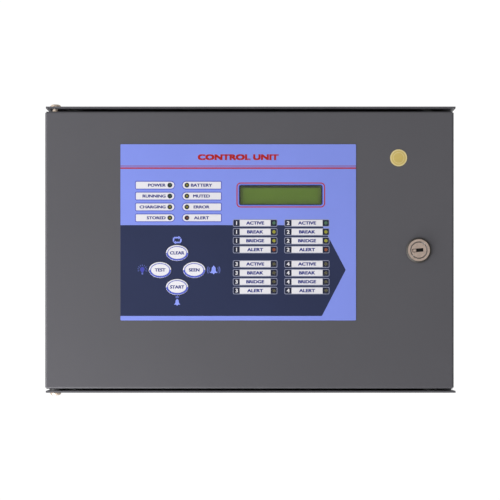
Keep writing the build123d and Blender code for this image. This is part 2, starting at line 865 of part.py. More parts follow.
def earth_tag(x, y, z):
    """A ring terminal on a stud, its crimp barrel pointing down."""
    ring = rod_y(x, z, 3.6, y - 0.4, y + 0.4)
    tongue = block((x - 1.2, y - 0.4, z - 5.5), (x + 1.2, y + 0.4, z - 2.5))
    barrel = rod_z(x, y, 1.5, z - tag_length, z - 5.0)
    return ring + tongue + barrel - rod_y(x, z, 2.05, y - 2, y + 2)


def battery_mouth(way):
    """Where a lead ends, inside one way of the board's battery terminal."""
    return (battery_terminal_x + (way + 0.5) * 5.08, board_front - 4.4, board_low[1] + 2.0)


def black_battery_lead():
    """From the first battery's back tab, forward between the tabs and right to the board."""
    x, y = tab_xs[0], tab_ys[1]
    end = battery_mouth(0)
    lead = wire(
        [
            (x, y - sleeve_half[1], lead_height),
            (x, y - 8, lead_height),
            (x + 6, y - 13, lead_height),
            (x + 16, y - 14, lead_height),
            (x + 33, y - 13, lead_height + 0.5),
            (end[0] - 5, y - 9, lead_height + 4.5),
            (end[0], end[1], lead_height + 11),
            end,
        ],
        wire_radius,
        "black battery lead",
    )
    return lead, tab_sleeve(x, y, 9.4)


def red_battery_lead():
    """From the second battery's back tab, right along the battery and up to the board."""
    x, y = tab_xs[1], tab_ys[1]
    end = battery_mouth(1)
    lead = wire(
        [
            (x + sleeve_half[0], y, lead_height),
            (x + 19, y, lead_height),
            (x + 31, y - 0.7, lead_height + 3),
            (end[0], end[1], lead_height + 10),
            end,
        ],
        wire_radius,
        "red battery lead",
    )
    return lead, tab_sleeve(x, y, 9.4)


def battery_link():
    """The short arched lead that joins the two front battery tabs in series."""
    low = battery_top + 11.4
    left, right = tab_xs
    y = tab_ys[0]
    side = (right - left) / (2 + math.sqrt(2))
    lead = wire(
        [
            (left, y, low),
            (left, y, low + 8),
            (left + side, y, low + 8 + side),
            (right - side, y, low + 8 + side),
            (right, y, low + 8),
            (right, y, low),
        ],
        wire_radius,
        "battery link",
    )
    return lead, tab_sleeve(left, y, 11.4), tab_sleeve(right, y, 11.4)


def transformer_lead(way):
    """A lead from the winding up to the board's transformer terminal."""
    x = transformer_terminal_x + (way + 0.5) * 5.08
    start_y = core_back - core_size[2] - coil_stand + 2.5
    start_z = transformer_centre[1] + core_size[1] * 0.3 - winding_slack
    end_y = board_front - 4.4
    end_z = board_low[1] + 2.0
    return wire(
        [
            (x, start_y, start_z),
            (x, start_y, start_z + 11),
            (x, start_y + 9.5, start_z + 20),
            (x, end_y - 4, end_z - 11.5),
            (x, end_y, end_z - 6.5),
            (x, end_y, end_z),
        ],
        transformer_wire_radius,
        f"transformer lead {way + 1}",
    )


# ---- Writing the nodes ---------------------------------------------------------------------
def write_cabinet():
    write("back_pan", back_pan())
    write("top_plate", end_plate(True))
    write("bottom_plate", end_plate(False))
    write("cable_grommets", *[grommet(x) for x, is_open in entry_places() if is_open])
    write("hinge_screws", hinge_screw(1), hinge_screw(-1))
    write("hinge_nuts", hinge_nut(1), hinge_nut(-1))
    write("hinge_washer", hinge_washer())
    write("door_buffers", door_buffer(buffer_z), door_buffer(-buffer_z))
    write("earth_stud", earth_stud(*earth_place))

    write("main_board", main_board())
    write("main_board_standoffs", *[board_standoff_at(x, z) for x, z in board_screws])
    screws = [pan_screw(x, z, board_front, 2.8, 2.2, 1.5, 6) for x, z in board_screws]
    write("main_board_screws", *screws)
    size = (terminal_pitch, terminal_deep, terminal_tall)
    blocks = [terminal_block(x, zone_terminal_z, 6, *size, 1) for x in zone_terminal_xs]
    write("terminal_blocks", *blocks)
    battery_block = terminal_block(battery_terminal_x, board_low[1], 2, *size, -1)
    transformer_block = terminal_block(transformer_terminal_x, board_low[1], 4, *size, -1)
    write("supply_terminal_blocks", battery_block, transformer_block)
    size = (mains_pitch, mains_deep, mains_tall)
    write("mains_terminal_block", terminal_block(*mains_terminal_place, 3, *size, 1))
    write("fuse_holders", *[fuse_holder(x) for x in fuse_xs])
    write("glass_fuses", *[glass_fuse(x) for x in fuse_xs])
    write("reservoir_capacitors", *[capacitor(*place) for place in capacitors])
    write("heat_sink", heat_sink())
    write("voltage_regulators", *[regulator(x) for x in regulator_xs])
    write("relays", *[relay(x) for x in relay_xs])
    write("board_chips", *[chip(*place) for place in chips])
    write("main_ribbon_header", *ribbon_header(*main_header, board_front, -1))

    core, coil, saddle = transformer()
    write("transformer_core", core)
    write("transformer_winding", coil)
    write("transformer_bracket", saddle)

    write("batteries", *[battery(x) for x in battery_xs])
    write("battery_tabs", *[battery_tab_at(x, y) for x in tab_xs for y in tab_ys])
    write("battery_strap", battery_strap())
    places = [(bracket_sheet, *place) for place in transformer_screw_places()]
    places += [(strap_sheet, *place) for place in strap_screw_places()]
    screws = [pan_screw(x, z, -pan_sheet - sheet, 3.6, 2.6, 1.95, sheet) for sheet, x, z in places]
    write("bracket_screws", *screws)
    write("battery_link", *battery_link())
    write("battery_lead_black", *black_battery_lead())
    write("battery_lead_red", *red_battery_lead())
    write("transformer_leads", *[transformer_lead(way) for way in range(4)])


def write_door():
    write("door_panel", door_panel())
    write("overlay", overlay())
    write("inspection_sticker", sticker())
    write("lcd_bezel", lcd_bezel())
    write("lcd_cell", *lcd_cell())
    write("lcd_board", *lcd_board())
    write("display_board", display_board())
    write("display_board_studs", *[display_stud(x, z) for x, z in display_screws])
    write("display_board_nuts", *[display_nut(x, z) for x, z in display_screws])

    status = status_lamps()
    zones = zone_lamps(zone_tops[0])
    green = status[0:2] + [zones[0], zones[4]]
    amber = status[2:7] + [zones[1], zones[2], zones[5], zones[6]]
    red = [status[7], zones[3], zones[7]]
    for name, places in (("green", green), ("amber", amber), ("red", red)):
        write(f"lamps_{name}", *[lamp(x, z) for x, z in places])

    write("tact_switches", *[tact_switch(x, z) for x, z in key_places().values()])
    write("buzzer", buzzer())
    write("door_ribbon_header", *ribbon_header(*door_header, display_back, 1))
    write("lock_body", lock_body())
    write("lock_nut", lock_nut())


def write_moving():
    write("lock_plug", lock_plug())
    write("lock_cam", lock_cam())
    write("cam_screw", cam_screw())
    for name, (x, z) in key_places().items():
        write(name, *key(x, z))
    write("ribbon_cable", ribbon_cable())
    write("earth_lead", *earth_lead())


os.makedirs("parts", exist_ok=True)
write_cabinet()
write_door()
write_moving()
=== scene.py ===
import json
import math

import bmesh
import bpy
from mathutils import Matrix, Vector


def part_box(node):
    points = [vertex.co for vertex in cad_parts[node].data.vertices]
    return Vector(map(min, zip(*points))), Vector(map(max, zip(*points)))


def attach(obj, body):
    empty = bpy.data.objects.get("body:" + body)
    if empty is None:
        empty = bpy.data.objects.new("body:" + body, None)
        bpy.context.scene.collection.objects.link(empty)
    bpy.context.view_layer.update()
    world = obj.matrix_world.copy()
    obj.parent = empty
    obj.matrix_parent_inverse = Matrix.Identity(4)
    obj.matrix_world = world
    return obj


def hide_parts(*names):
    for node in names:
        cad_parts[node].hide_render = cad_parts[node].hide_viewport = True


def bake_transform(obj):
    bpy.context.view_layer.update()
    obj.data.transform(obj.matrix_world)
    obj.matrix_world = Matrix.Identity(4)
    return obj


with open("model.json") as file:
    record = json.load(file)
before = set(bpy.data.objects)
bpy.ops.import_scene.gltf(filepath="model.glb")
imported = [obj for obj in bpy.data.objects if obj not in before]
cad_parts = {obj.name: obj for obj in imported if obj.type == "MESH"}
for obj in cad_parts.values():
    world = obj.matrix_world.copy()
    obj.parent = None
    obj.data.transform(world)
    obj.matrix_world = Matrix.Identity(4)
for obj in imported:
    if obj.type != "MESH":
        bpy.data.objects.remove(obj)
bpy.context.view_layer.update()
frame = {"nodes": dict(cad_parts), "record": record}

# The looks of a wall-mounted fire alarm control panel. Outlines, profiles and routes are in
# millimetres, X to the right and Z up. What the frame gives and what Blender takes is in metres.

mm = 0.001
light_level = 1.27  # how much brighter than its own colour a matt front surface comes out
ink = 0.03 * mm  # thickness of one printed layer
copy_step = 0.004  # how much deeper each copy of a word lies, in millimetres

film_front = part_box("overlay")[0].y
film_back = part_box("overlay")[1].y
key_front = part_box("key_reset")[0].y


# ---- Colours and finishes ----------------------------------------------------------------------
def linear(value):
    """One 0 to 255 screen value as linear light."""
    value /= 255
    return value / 12.92 if value <= 0.04045 else ((value + 0.055) / 1.055) ** 2.4


def seen(red, green, blue):
    """The paint colour that comes out as this screen colour under the studio light."""
    return [linear(value) / light_level for value in (red, green, blue)]


def noise(tree, vector, scale, detail):
    """Adds a noise pattern to a material, and returns the socket that carries it."""
    node = tree.nodes.new("ShaderNodeTexNoise")
    node.inputs["Scale"].default_value = scale
    node.inputs["Detail"].default_value = detail
    tree.links.new(vector, node.inputs["Vector"])
    return node.outputs["Fac"]


def finish(
    name, colour, spread=0.06, rough=(0.4, 0.5), patch=30.0, grain=900.0, depth=0.01,
    metallic=0.0, coat=0.0, specular=0.5, alpha=1.0, stretch=(1, 1, 1), tint=None,
):
    """A procedural finish: soft patches vary its colour, and fine grain varies its gloss and makes its bump.
    Patch and grain are in cycles per metre, depth is in millimetres, and stretch draws the
    grain out along an axis. Tint is a second colour that the patches run to."""
    material = bpy.data.materials.new(name)
    material.use_nodes = True
    tree = material.node_tree
    shader = tree.nodes["Principled BSDF"]
    shader.inputs["Metallic"].default_value = metallic
    shader.inputs["Coat Weight"].default_value = coat
    shader.inputs["Coat Roughness"].default_value = 0.12
    shader.inputs["Specular IOR Level"].default_value = specular
    shader.inputs["Alpha"].default_value = alpha

    place = tree.nodes.new("ShaderNodeTexCoord").outputs["Object"]
    mapping = tree.nodes.new("ShaderNodeMapping")
    mapping.inputs["Scale"].default_value = stretch
    tree.links.new(place, mapping.inputs["Vector"])
    patches = noise(tree, place, patch, 4.0)
    fine = noise(tree, mapping.outputs["Vector"], grain, 3.0)

    ramp = tree.nodes.new("ShaderNodeValToRGB")
    ends = ramp.color_ramp.elements
    ends[0].position, ends[1].position = 0.3, 0.7
    ends[0].color = [c * (1 - spread) for c in colour] + [1]
    ends[1].color = [min(1, c * (1 + spread)) for c in (tint or colour)] + [1]
    tree.links.new(patches, ramp.inputs["Fac"])
    tree.links.new(ramp.outputs["Color"], shader.inputs["Base Color"])

    gloss = tree.nodes.new("ShaderNodeMapRange")
    gloss.inputs["To Min"].default_value, gloss.inputs["To Max"].default_value = rough
    tree.links.new(fine, gloss.inputs["Value"])
    tree.links.new(gloss.outputs["Result"], shader.inputs["Roughness"])

    bump = tree.nodes.new("ShaderNodeBump")
    bump.inputs["Distance"].default_value = depth * mm
    tree.links.new(fine, bump.inputs["Height"])
    tree.links.new(bump.outputs["Normal"], shader.inputs["Normal"])
    return material


def plastic(name, colour, **more):
    """A finish like moulded plastic."""
    return finish(name, colour, **{"rough": (0.38, 0.5), "grain": 2500.0, "depth": 0.006, **more})


def metal(name, colour, **more):
    """A finish like bare or plated metal."""
    return finish(name, colour, **{"metallic": 1.0, "rough": (0.25, 0.4), "grain": 1500.0, **more})


def ink_finish(name, colour, **more):
    """Screen-printed ink under a satin polyester film."""
    return finish(
        name, colour,
        **{"spread": 0.03, "rough": (0.36, 0.46), "grain": 1800.0, "depth": 0.003, "specular": 0.3, **more},
    )


finishes = {
    "cabinet_paint": finish(
        "powder_coat", seen(84, 83, 88), spread=0.035, rough=(0.42, 0.58), patch=9.0,
        grain=750.0, depth=0.035, specular=0.35,
    ),
    "key_print": plastic("key_white", seen(232, 230, 236), spread=0.02, rough=(0.25, 0.34)),
    "display_glass": finish("display_green", seen(92, 122, 30), spread=0.01, rough=(0.4, 0.5), depth=0.001),
    "display_bezel": finish("black_lacquer", seen(38, 38, 42), rough=(0.3, 0.4), depth=0.01),
    "circuit_board": finish(
        "solder_mask", [0.012, 0.115, 0.04], spread=0.2, rough=(0.25, 0.42), patch=260.0,
        grain=1400.0, depth=0.02, coat=0.35,
    ),
    "lamp_green": plastic("lamp_green", seen(96, 172, 118), rough=(0.18, 0.3), coat=0.4),
    "lamp_amber": plastic("lamp_amber", seen(232, 222, 36), rough=(0.18, 0.3), coat=0.4),
    "lamp_red": plastic("lamp_red", seen(228, 104, 62), rough=(0.18, 0.3), coat=0.4),
    # Painted shade: the lock body's metal gets a near-black base, so its bevel comes out dark as if shaded.
    "nickel": metal("nickel_painted_dark", [0.09, 0.085, 0.08], rough=(0.6, 0.72), depth=0.008),
    "zinc": metal("bright_zinc", [0.62, 0.64, 0.66], rough=(0.28, 0.42), patch=300.0, spread=0.12),
    "brass_zinc": metal("yellow_zinc", [0.46, 0.37, 0.29], rough=(0.5, 0.62), patch=400.0,
                        spread=0.1, tint=[0.52, 0.45, 0.39]),
    "black_rubber": finish("rubber", [0.018, 0.018, 0.019], rough=(0.6, 0.8), grain=2600.0,
                           depth=0.03),
    "black_plastic": plastic("black_plastic", [0.02, 0.02, 0.022], depth=0.02),
    "battery_case": plastic("battery_case", [0.035, 0.036, 0.04], rough=(0.45, 0.6), grain=1500.0,
                            depth=0.05),
    "terminal_green": plastic("terminal_green", [0.03, 0.24, 0.09]),
    "terminal_grey": plastic("terminal_grey", [0.28, 0.29, 0.30]),
    "relay_case": plastic("relay_case", [0.03, 0.09, 0.30], rough=(0.22, 0.32)),
    "capacitor_sleeve": plastic("capacitor_sleeve", [0.012, 0.02, 0.07], rough=(0.16, 0.26), coat=0.3),
    "aluminium": metal("extruded_aluminium", [0.62, 0.63, 0.64], grain=1800.0, stretch=(1, 1, 0.04),
                       depth=0.02),
    "core_steel": metal("laminated_core", [0.20, 0.185, 0.17], rough=(0.4, 0.6), grain=1900.0,
                        stretch=(0.02, 1, 0.02), depth=0.12),
    "winding_tape": plastic("winding_tape", [0.58, 0.42, 0.07], spread=0.12, patch=120.0,
                            grain=420.0, stretch=(0.1, 0.1, 1), depth=0.06, rough=(0.25, 0.4)),
    "tin": metal("tinned_brass", [0.66, 0.65, 0.60], spread=0.1, patch=300.0),
    "red_insulation": plastic("red_insulation", [0.42, 0.015, 0.015], rough=(0.35, 0.5)),
    "black_insulation": plastic("black_insulation", [0.02, 0.02, 0.02], rough=(0.35, 0.5)),
    "blue_insulation": plastic("blue_insulation", [0.02, 0.06, 0.33], rough=(0.35, 0.5)),
    "fuse_glass": finish("fuse_glass", [0.8, 0.86, 0.86], rough=(0.04, 0.08), alpha=0.35, depth=0.002),
}

blue_film = ink_finish("blue_film", seen(129, 145, 231), spread=0.02)
navy = ink_finish("navy", seen(33, 42, 76), spread=0.06, patch=14.0)
lamp_navy = ink_finish("lamp_navy", seen(18, 24, 52))
label_white = ink_finish("label_white", seen(228, 226, 231))
label_grey = ink_finish("label_grey", seen(150, 154, 178))
plate_blue = ink_finish("plate_blue", seen(66, 76, 184))
caption_blue = ink_finish("caption_blue", seen(38, 46, 128))
title_red = ink_finish("title_red", seen(172, 20, 6))
line_red = ink_finish("line_red", seen(172, 46, 52))
pale_line = ink_finish("pale_line", seen(142, 92, 148))
outline_red = ink_finish("outline_red", seen(178, 48, 48))
royal_blue = ink_finish("royal_blue", seen(76, 92, 200))
ring_blue = ink_finish("ring_blue", seen(92, 100, 186))
icon_pale = ink_finish("icon_pale", seen(140, 155, 245))
icon_mid = ink_finish("icon_mid", seen(92, 104, 178))
icon_deep = ink_finish("icon_deep", seen(66, 70, 170))
# Painted shadow: a near-black band on the display glass, widest under the window's top edge.
display_shade = finish("display_shade", seen(30, 32, 34), rough=(0.25, 0.35), depth=0.002)
display_cells = finish("display_cells", seen(93, 123, 31), spread=0.01, rough=(0.4, 0.5), depth=0.001)
# Painted shade: a duller green band inside the border darkens the display towards its edges.
display_shade_rim = finish("display_shade_rim", seen(84, 106, 34), spread=0.01, rough=(0.4, 0.5), depth=0.001)
clear_pane = finish("clear_pane", seen(120, 140, 90), rough=(0.05, 0.09), alpha=0.07, depth=0.001)
olive_pane = finish("olive_pane", seen(112, 108, 84), rough=(0.2, 0.3), alpha=0.55, depth=0.004)
dull_green = finish("dull_green", seen(62, 94, 66), rough=(0.12, 0.2), alpha=0.8, depth=0.002)
dull_yellow = finish("dull_yellow", seen(134, 132, 50), rough=(0.12, 0.2), alpha=0.8, depth=0.002)
dull_red = finish("dull_red", seen(124, 76, 60), rough=(0.12, 0.2), alpha=0.8, depth=0.002)
green_pane = finish("green_pane", seen(86, 124, 98), rough=(0.12, 0.2), alpha=0.8, depth=0.004)
yellow_pane = finish("yellow_pane", seen(168, 166, 62), rough=(0.12, 0.2), alpha=0.8, depth=0.004)
red_pane = finish("red_pane", seen(150, 82, 56), rough=(0.12, 0.2), alpha=0.8, depth=0.004)
gold_paper = finish("gold_paper", seen(206, 182, 100), spread=0.1, patch=160.0, rough=(0.3, 0.5),
                    grain=1600.0, depth=0.02)
pale_gold = finish("pale_gold", seen(222, 206, 150), spread=0.06, patch=200.0, rough=(0.3, 0.45))
earth_green = plastic("earth_green", [0.04, 0.30, 0.05])
earth_yellow = plastic("earth_yellow", [0.72, 0.58, 0.03])
ribbon_grey = plastic("ribbon_grey", [0.36, 0.37, 0.39], rough=(0.35, 0.5))
ribbon_red = plastic("ribbon_red", [0.50, 0.03, 0.03])
resistor_tan = plastic("resistor_tan", [0.55, 0.36, 0.18])
band_brown = plastic("band_brown", [0.16, 0.05, 0.02])
ceramic = plastic("ceramic", [0.50, 0.24, 0.05])
paper_label = plastic("paper_label", [0.62, 0.62, 0.58], rough=(0.5, 0.65))
label_band = plastic("label_band", [0.05, 0.15, 0.36], rough=(0.5, 0.65))
silk_white = plastic("silk_white", [0.62, 0.64, 0.60])
track_green = plastic("track_green", [0.03, 0.20, 0.07], rough=(0.25, 0.4))
worn_brass = metal("worn_brass", [0.53, 0.42, 0.355], rough=(0.34, 0.5), patch=500.0, spread=0.12,
                   stretch=(0.1, 1, 1), depth=0.02)
bright_rim = metal("bright_rim", [0.30, 0.28, 0.27], rough=(0.34, 0.46), depth=0.004)
# Painted shade: near-black for the floor just behind the key slot, for the dark depth of the keyway.
keyway_shade_black = plastic("keyway_shade_black", [0.004, 0.004, 0.004], rough=(0.7, 0.8))
solder = metal("solder", [0.60, 0.60, 0.58], spread=0.12, patch=900.0)


# ---- Mesh helpers ------------------------------------------------------------------------------
def mesh_of(data, matrix):
    """The mesh of a curve or text, moved by a matrix, with the curve itself thrown away."""
    holder = bpy.data.objects.new("holder", data)
    mesh = bpy.data.meshes.new_from_object(holder)
    bpy.data.objects.remove(holder)
    mesh.transform(matrix)
    return mesh


def towards_viewer(x, y, z):
    """Stands a flat drawing or a turned shape at a point, with its height running to the viewer."""
    return Matrix.Translation((x, y, z)) @ Matrix.Rotation(math.radians(90), 4, "X")


def printed(outlines, back, front):
    """Closed outlines in millimetres as a thin solid; an outline inside another is a hole."""
    curve = bpy.data.curves.new("outline", "CURVE")
    curve.dimensions = "2D"
    curve.fill_mode = "BOTH"
    curve.extrude = (back - front) / 2
    for outline in outlines:
        spline = curve.splines.new("POLY")
        spline.points.add(len(outline) - 1)
        for point, (x, z) in zip(spline.points, outline):
            point.co = (x * mm, z * mm, 0, 1)
        spline.use_cyclic_u = True
    return mesh_of(curve, towards_viewer(0, (back + front) / 2, 0))


def lettering(words, x, z, tall, back, front, stretch=1.25, weight=(0.34, 0.16), anchor=0.5):
    """Bold words of one height, in millimetres. Anchor 0.5 puts their middle at x, and 1 their end.
    Copies shifted by the weight, across and up, thicken the strokes. Each lies a little deeper
    than the one before, so that no two faces share a plane."""
    text = bpy.data.curves.new("words", "FONT")
    text.body = words
    text.resolution_u = 3
    text.extrude = (back - front) / 2
    mesh = mesh_of(text, Matrix.Identity(4))
    xs = [v.co.x for v in mesh.vertices]
    ys = [v.co.y for v in mesh.vertices]
    scale = (tall - weight[1]) * mm / (max(ys) - min(ys))
    start = Vector((-min(xs) - anchor * (max(xs) - min(xs)), -(min(ys) + max(ys)) / 2, 0))
    mesh.transform(Matrix.Diagonal((scale * stretch, scale, 1, 1)) @ Matrix.Translation(start))
    copies = bmesh.new()
    places = [(across, up) for across in (-0.5, 0, 0.5) for up in (-0.5, 0.5)]
    for step, (across, up) in enumerate(places):
        shifted = mesh.copy()
        shift = Vector((x + across * weight[0], step * copy_step, z + up * weight[1])) * mm
        shifted.transform(Matrix.Translation(shift) @ towards_viewer(0, (back + front) / 2, 0))
        copies.from_mesh(shifted)
        bpy.data.meshes.remove(shifted)
    copies.to_mesh(mesh)
    copies.free()
    return mesh


def piece(name, parts, body, replaces=(), smooth=None):
    """Joins (mesh, finish) pairs into one piece that rides on a body."""
    joined = bmesh.new()
    used = []
    for mesh, material in parts:
        if material not in used:
            used.append(material)
        mesh.materials.clear()
        for face in mesh.polygons:
            face.material_index = used.index(material)
        joined.from_mesh(mesh)
        bpy.data.meshes.remove(mesh)
    result = bpy.data.meshes.new(name)
    joined.to_mesh(result)
    joined.free()
    for material in used:
        result.materials.append(material)
    if smooth:
        result.shade_smooth()
        result.set_sharp_from_angle(angle=math.radians(smooth))
    shown = bpy.data.objects.new(name, result)
    bpy.context.scene.collection.objects.link(shown)
    if body:
        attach(shown, body)
    if replaces:
        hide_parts(*replaces)


def bevelled_box(low, high, radius=0.0):
    """A box between two corners in metres, its edges rounded."""
    shape = bmesh.new()
    bmesh.ops.create_cube(shape, size=1.0)
    size = [b - a for a, b in zip(low, high)]
    middle = [(a + b) / 2 for a, b in zip(low, high)]
    bmesh.ops.transform(shape, matrix=Matrix.Diagonal((*size, 1)), verts=shape.verts)
    if radius:
        bmesh.ops.bevel(shape, geom=shape.edges[:], offset=radius, segments=2, affect="EDGES")
    bmesh.ops.translate(shape, vec=middle, verts=shape.verts)
    mesh = bpy.data.meshes.new("box")
    shape.to_mesh(mesh)
    shape.free()
    return mesh


def turned(profile, matrix, segments=32, hollow=False):
    """A shape turned about Z from (radius, height) pairs in millimetres, then moved. It is closed
    flat at both ends, or, as a hollow ring, by joining its last pair to its first."""
    verts, faces = [], []
    for radius, height in profile:
        for i in range(segments):
            angle = 2 * math.pi * i / segments
            verts.append((radius * math.cos(angle) * mm, radius * math.sin(angle) * mm, height * mm))
    for ring in range(len(profile) if hollow else len(profile) - 1):
        low, high = ring * segments, (ring + 1) % len(profile) * segments
        for i in range(segments):
            after = (i + 1) % segments
            faces.append((low + i, low + after, high + after, high + i))
    if not hollow:
        faces.append(list(range(segments))[::-1])
        faces.append([(len(profile) - 1) * segments + i for i in range(segments)])
    mesh = bpy.data.meshes.new("turned")
    mesh.from_pydata(verts, [], faces)
    mesh.transform(matrix)
    return mesh


def smooth_path(points):
    """The smooth line of a cable from its route's first point to its last, drawn towards the
    points between them. The points and the line are in metres."""
    curve = bpy.data.curves.new("path", "CURVE")
    curve.dimensions = "3D"
    curve.resolution_u = 8
    spline = curve.splines.new("NURBS")
    spline.points.add(len(points) - 1)
    for point, place in zip(spline.points, points):
        point.co = (*place, 1)
    spline.order_u = 3
    spline.use_endpoint_u = True
    mesh = mesh_of(curve, Matrix.Identity(4))
    path = [v.co.copy() for v in mesh.vertices]
    bpy.data.meshes.remove(mesh)
    return path


# ---- Outlines, in millimetres ------------------------------------------------------------------
def arc(x, z, radius_x, radius_z, start, end, steps):
    """Points along part of an ellipse, angles in degrees."""
    angles = [math.radians(start + (end - start) * i / steps) for i in range(steps + 1)]
    return [(x + radius_x * math.cos(a), z + radius_z * math.sin(a)) for a in angles]


def oval(x, z, radius_x, radius_z, steps=56):
    """A whole ellipse."""
    return arc(x, z, radius_x, radius_z, 0, 360, steps)[:-1]


def rounded(x_low, x_high, z_low, z_high, radii):
    """A rectangle with its own radius at each corner: upper right, then anticlockwise."""
    corners = [(x_high, z_high, -1, -1), (x_low, z_high, 1, -1), (x_low, z_low, 1, 1), (x_high, z_low, -1, 1)]
    outline = []
    for i, ((x, z, to_x, to_z), radius) in enumerate(zip(corners, radii)):
        outline += arc(x + to_x * radius, z + to_z * radius, radius, radius, 90 * i, 90 * i + 90, 8)
    return outline


def plate(x, z, wide, tall, radius):
    """A rounded rectangle about its centre."""
    return rounded(x - wide / 2, x + wide / 2, z - tall / 2, z + tall / 2, [radius] * 4)


def band(points, width):
    """A stroke of one width along a line of points."""
    left, right = [], []
    for i, (x, z) in enumerate(points):
        before, after = points[max(i - 1, 0)], points[min(i + 1, len(points) - 1)]
        along = Vector((after[0] - before[0], after[1] - before[1])).normalized()
        left.append((x - along.y * width / 2, z + along.x * width / 2))
        right.append((x + along.y * width / 2, z - along.x * width / 2))
    return left + right[::-1]


# ---- Places on the overlay ---------------------------------------------------------------------
film_low, film_high = [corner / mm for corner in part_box("overlay")]
bezel_low, bezel_high = [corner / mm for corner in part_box("lcd_bezel")]
window_x, window_z = (bezel_low.x + bezel_high.x) / 2, (bezel_low.z + bezel_high.z) / 2
window_size = (65.8, 15.7)
window_corner = 1.6

status_lamp_x = (-64.1, -50.6)
status_rows = [51.1 - 8.63 * row for row in range(4)]
status_plate_x = ((-91.2, -60.4), (-54.1, -23.4))
status_tall = 5.8
status_captions = (("POWER", "RUNNING", "CHARGING", "STORED"), ("BATTERY", "MUTED", "ERROR", "ALERT"))
status_word_x = (-67.6, -39.0)
status_anchor = (1.0, 0.5)
status_window_radius = 1.05
lamp_ring_radius = 1.9

zone_frames = ((-14.1, 21.1), (26.7, 62.4))
zone_number_x = (-11.2, 29.7)
zone_labels = ((-8.7, 15.8), (32.4, 57.0))
zone_lamp_x = (18.4, 59.6)
zone_tops = (21.1, -11.4)
zone_pitch = 7.03
zone_tall = 5.75
zone_edge = 0.45
zone_window = 2.9
zone_window_corner = 0.4
zone_lamp_radius = 1.4
fitted_zones = 2
zone_captions = ("ACTIVE", "BREAK", "BRIDGE", "ALERT")

navy_top, navy_bottom, navy_tip = 19.4, -52.6, -16.1
navy_shoulder, navy_point = 56.4, 75.3

title_place, title_tall = (-9.9, 73.3), 4.7
title_lines = ((66.3, 0.7, pale_line), (64.6, 1.15, line_red))  # height, thickness and ink
surround_x, surround_z = (-11.3, 59.0), (33.4, 53.2)
surround_line = 0.85

key_captions = {"key_reset": "CLEAR", "key_lamp": "TEST", "key_acknowledge": "SEEN", "key_alarm": "START"}
key_half_axes = (9.0, 6.45)

slot_size, slot_shift, slot_tilt = (8.7, 2.8), -0.8, 5.0


def key_place(name):
    """The centre of a key, in millimetres."""
    low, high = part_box(name)
    return (low.x + high.x) / 2 / mm, (low.z + high.z) / 2 / mm


def zone_rows():
    """Each zone row's column, height, zone number and caption."""
    for block, top in enumerate(zone_tops):
        for column in range(2):
            for row, caption in enumerate(zone_captions):
                yield column, top - row * zone_pitch, block * 2 + column + 1, caption


def zone_outline(column, z):
    """The square window over a zone's lamp."""
    return plate(zone_lamp_x[column], z, zone_window, zone_window, zone_window_corner)


def status_outline(x, z):
    """The round window over a status lamp."""
    return oval(x, z, status_window_radius, status_window_radius, 24)


def window_outlines():
    """The clear windows and key openings of the film."""
    outlines = [plate(window_x, window_z, *window_size, window_corner)]
    outlines += [status_outline(x, z) for x in status_lamp_x for z in status_rows]
    outlines += [zone_outline(column, z) for column, z, _, _ in zone_rows()]
    outlines += [oval(*key_place(name), *key_half_axes) for name in key_captions]
    return outlines


# ---- Overlay artwork ---------------------------------------------------------------------------
def on_layer(level):
    """Back and front depth of a printed layer; layer 1 lies on the film."""
    return film_front - (level - 1) * ink, film_front - level * ink


def film_and_navy():
    """The blue film with its windows, and the navy field printed on it. The field stops short of a
    zone window that its slanting side would cross."""
    film_edge = rounded(film_low.x, film_high.x, film_low.z, film_high.z, [0.8] * 4)
    keys = [oval(*key_place(name), *key_half_axes) for name in key_captions]
    inside, steps = [], []
    for column, z, _, _ in zone_rows():
        outline = zone_outline(column, z)
        left, low, high = zone_lamp_x[column] - zone_window / 2, z - zone_window / 2, z + zone_window / 2
        if in_navy(outline):
            inside.append(outline)
        elif high < navy_top and navy_reach(low) > left:
            steps += [(navy_reach(low), low), (left, low), (left, high), (max(left, navy_reach(high)), high)]
    field = [
        (film_low.x, navy_top), (film_low.x, navy_bottom), (navy_shoulder, navy_bottom),
        (navy_point, navy_tip), *steps, (navy_shoulder, navy_top),
    ]
    return [
        (printed([film_edge] + window_outlines(), film_back, film_front), blue_film),
        (printed([field] + keys + inside, *on_layer(1)), navy),
    ]


def navy_reach(z):
    """How far right the navy field reaches at a height."""
    half = (navy_top - navy_bottom) / 2
    return navy_point - (navy_point - navy_shoulder) * abs(z - navy_tip) / half


def in_navy(outline):
    """Whether an outline lies inside the navy field, left of its slanting side."""
    return all(navy_bottom <= z <= navy_top and x <= navy_reach(z) for x, z in outline)


def title():
    """The title and the two lines under it."""
    words = lettering(
        "CONTROL UNIT", *title_place, title_tall, *on_layer(1), stretch=1.5, weight=(0.9, 0.7)
    )
    parts = [(words, title_red)]
    for z, thick, material in title_lines:
        line = rounded(film_low.x, film_high.x, z - thick / 2, z + thick / 2, [0.01] * 4)
        parts.append((printed([line], *on_layer(1)), material))
    return parts


def status_plate(column, z, grow):
    """A status plate's outline: square at its outer end, round at its lamp's end, grown all round."""
    x_low, x_high = status_plate_x[column]
    half = status_tall / 2 + grow
    tight, full = 0.7 + grow, half - 0.01
    radii = [full, tight, tight, full] if column == 0 else [tight, full, full, tight]
    return rounded(x_low - grow, x_high + grow, z - half, z + half, radii)


def status_plates():
    """The white status plates, each with a blue edge, a lamp's window in a dark ring, and a word."""
    parts = []
    for column, x in enumerate(status_lamp_x):
        for z, words in zip(status_rows, status_captions[column]):
            hole = status_outline(x, z)
            ring = oval(x, z, lamp_ring_radius, lamp_ring_radius, 32)
            parts.append((printed([status_plate(column, z, 0.45), hole], *on_layer(1)), plate_blue))
            parts.append((printed([status_plate(column, z, -0.15), hole], *on_layer(2)), label_white))
            parts.append((printed([ring, hole], *on_layer(3)), lamp_navy))
            word = lettering(words, status_word_x[column], z, 2.4, *on_layer(3), anchor=status_anchor[column])
            parts.append((word, caption_blue))
    return parts


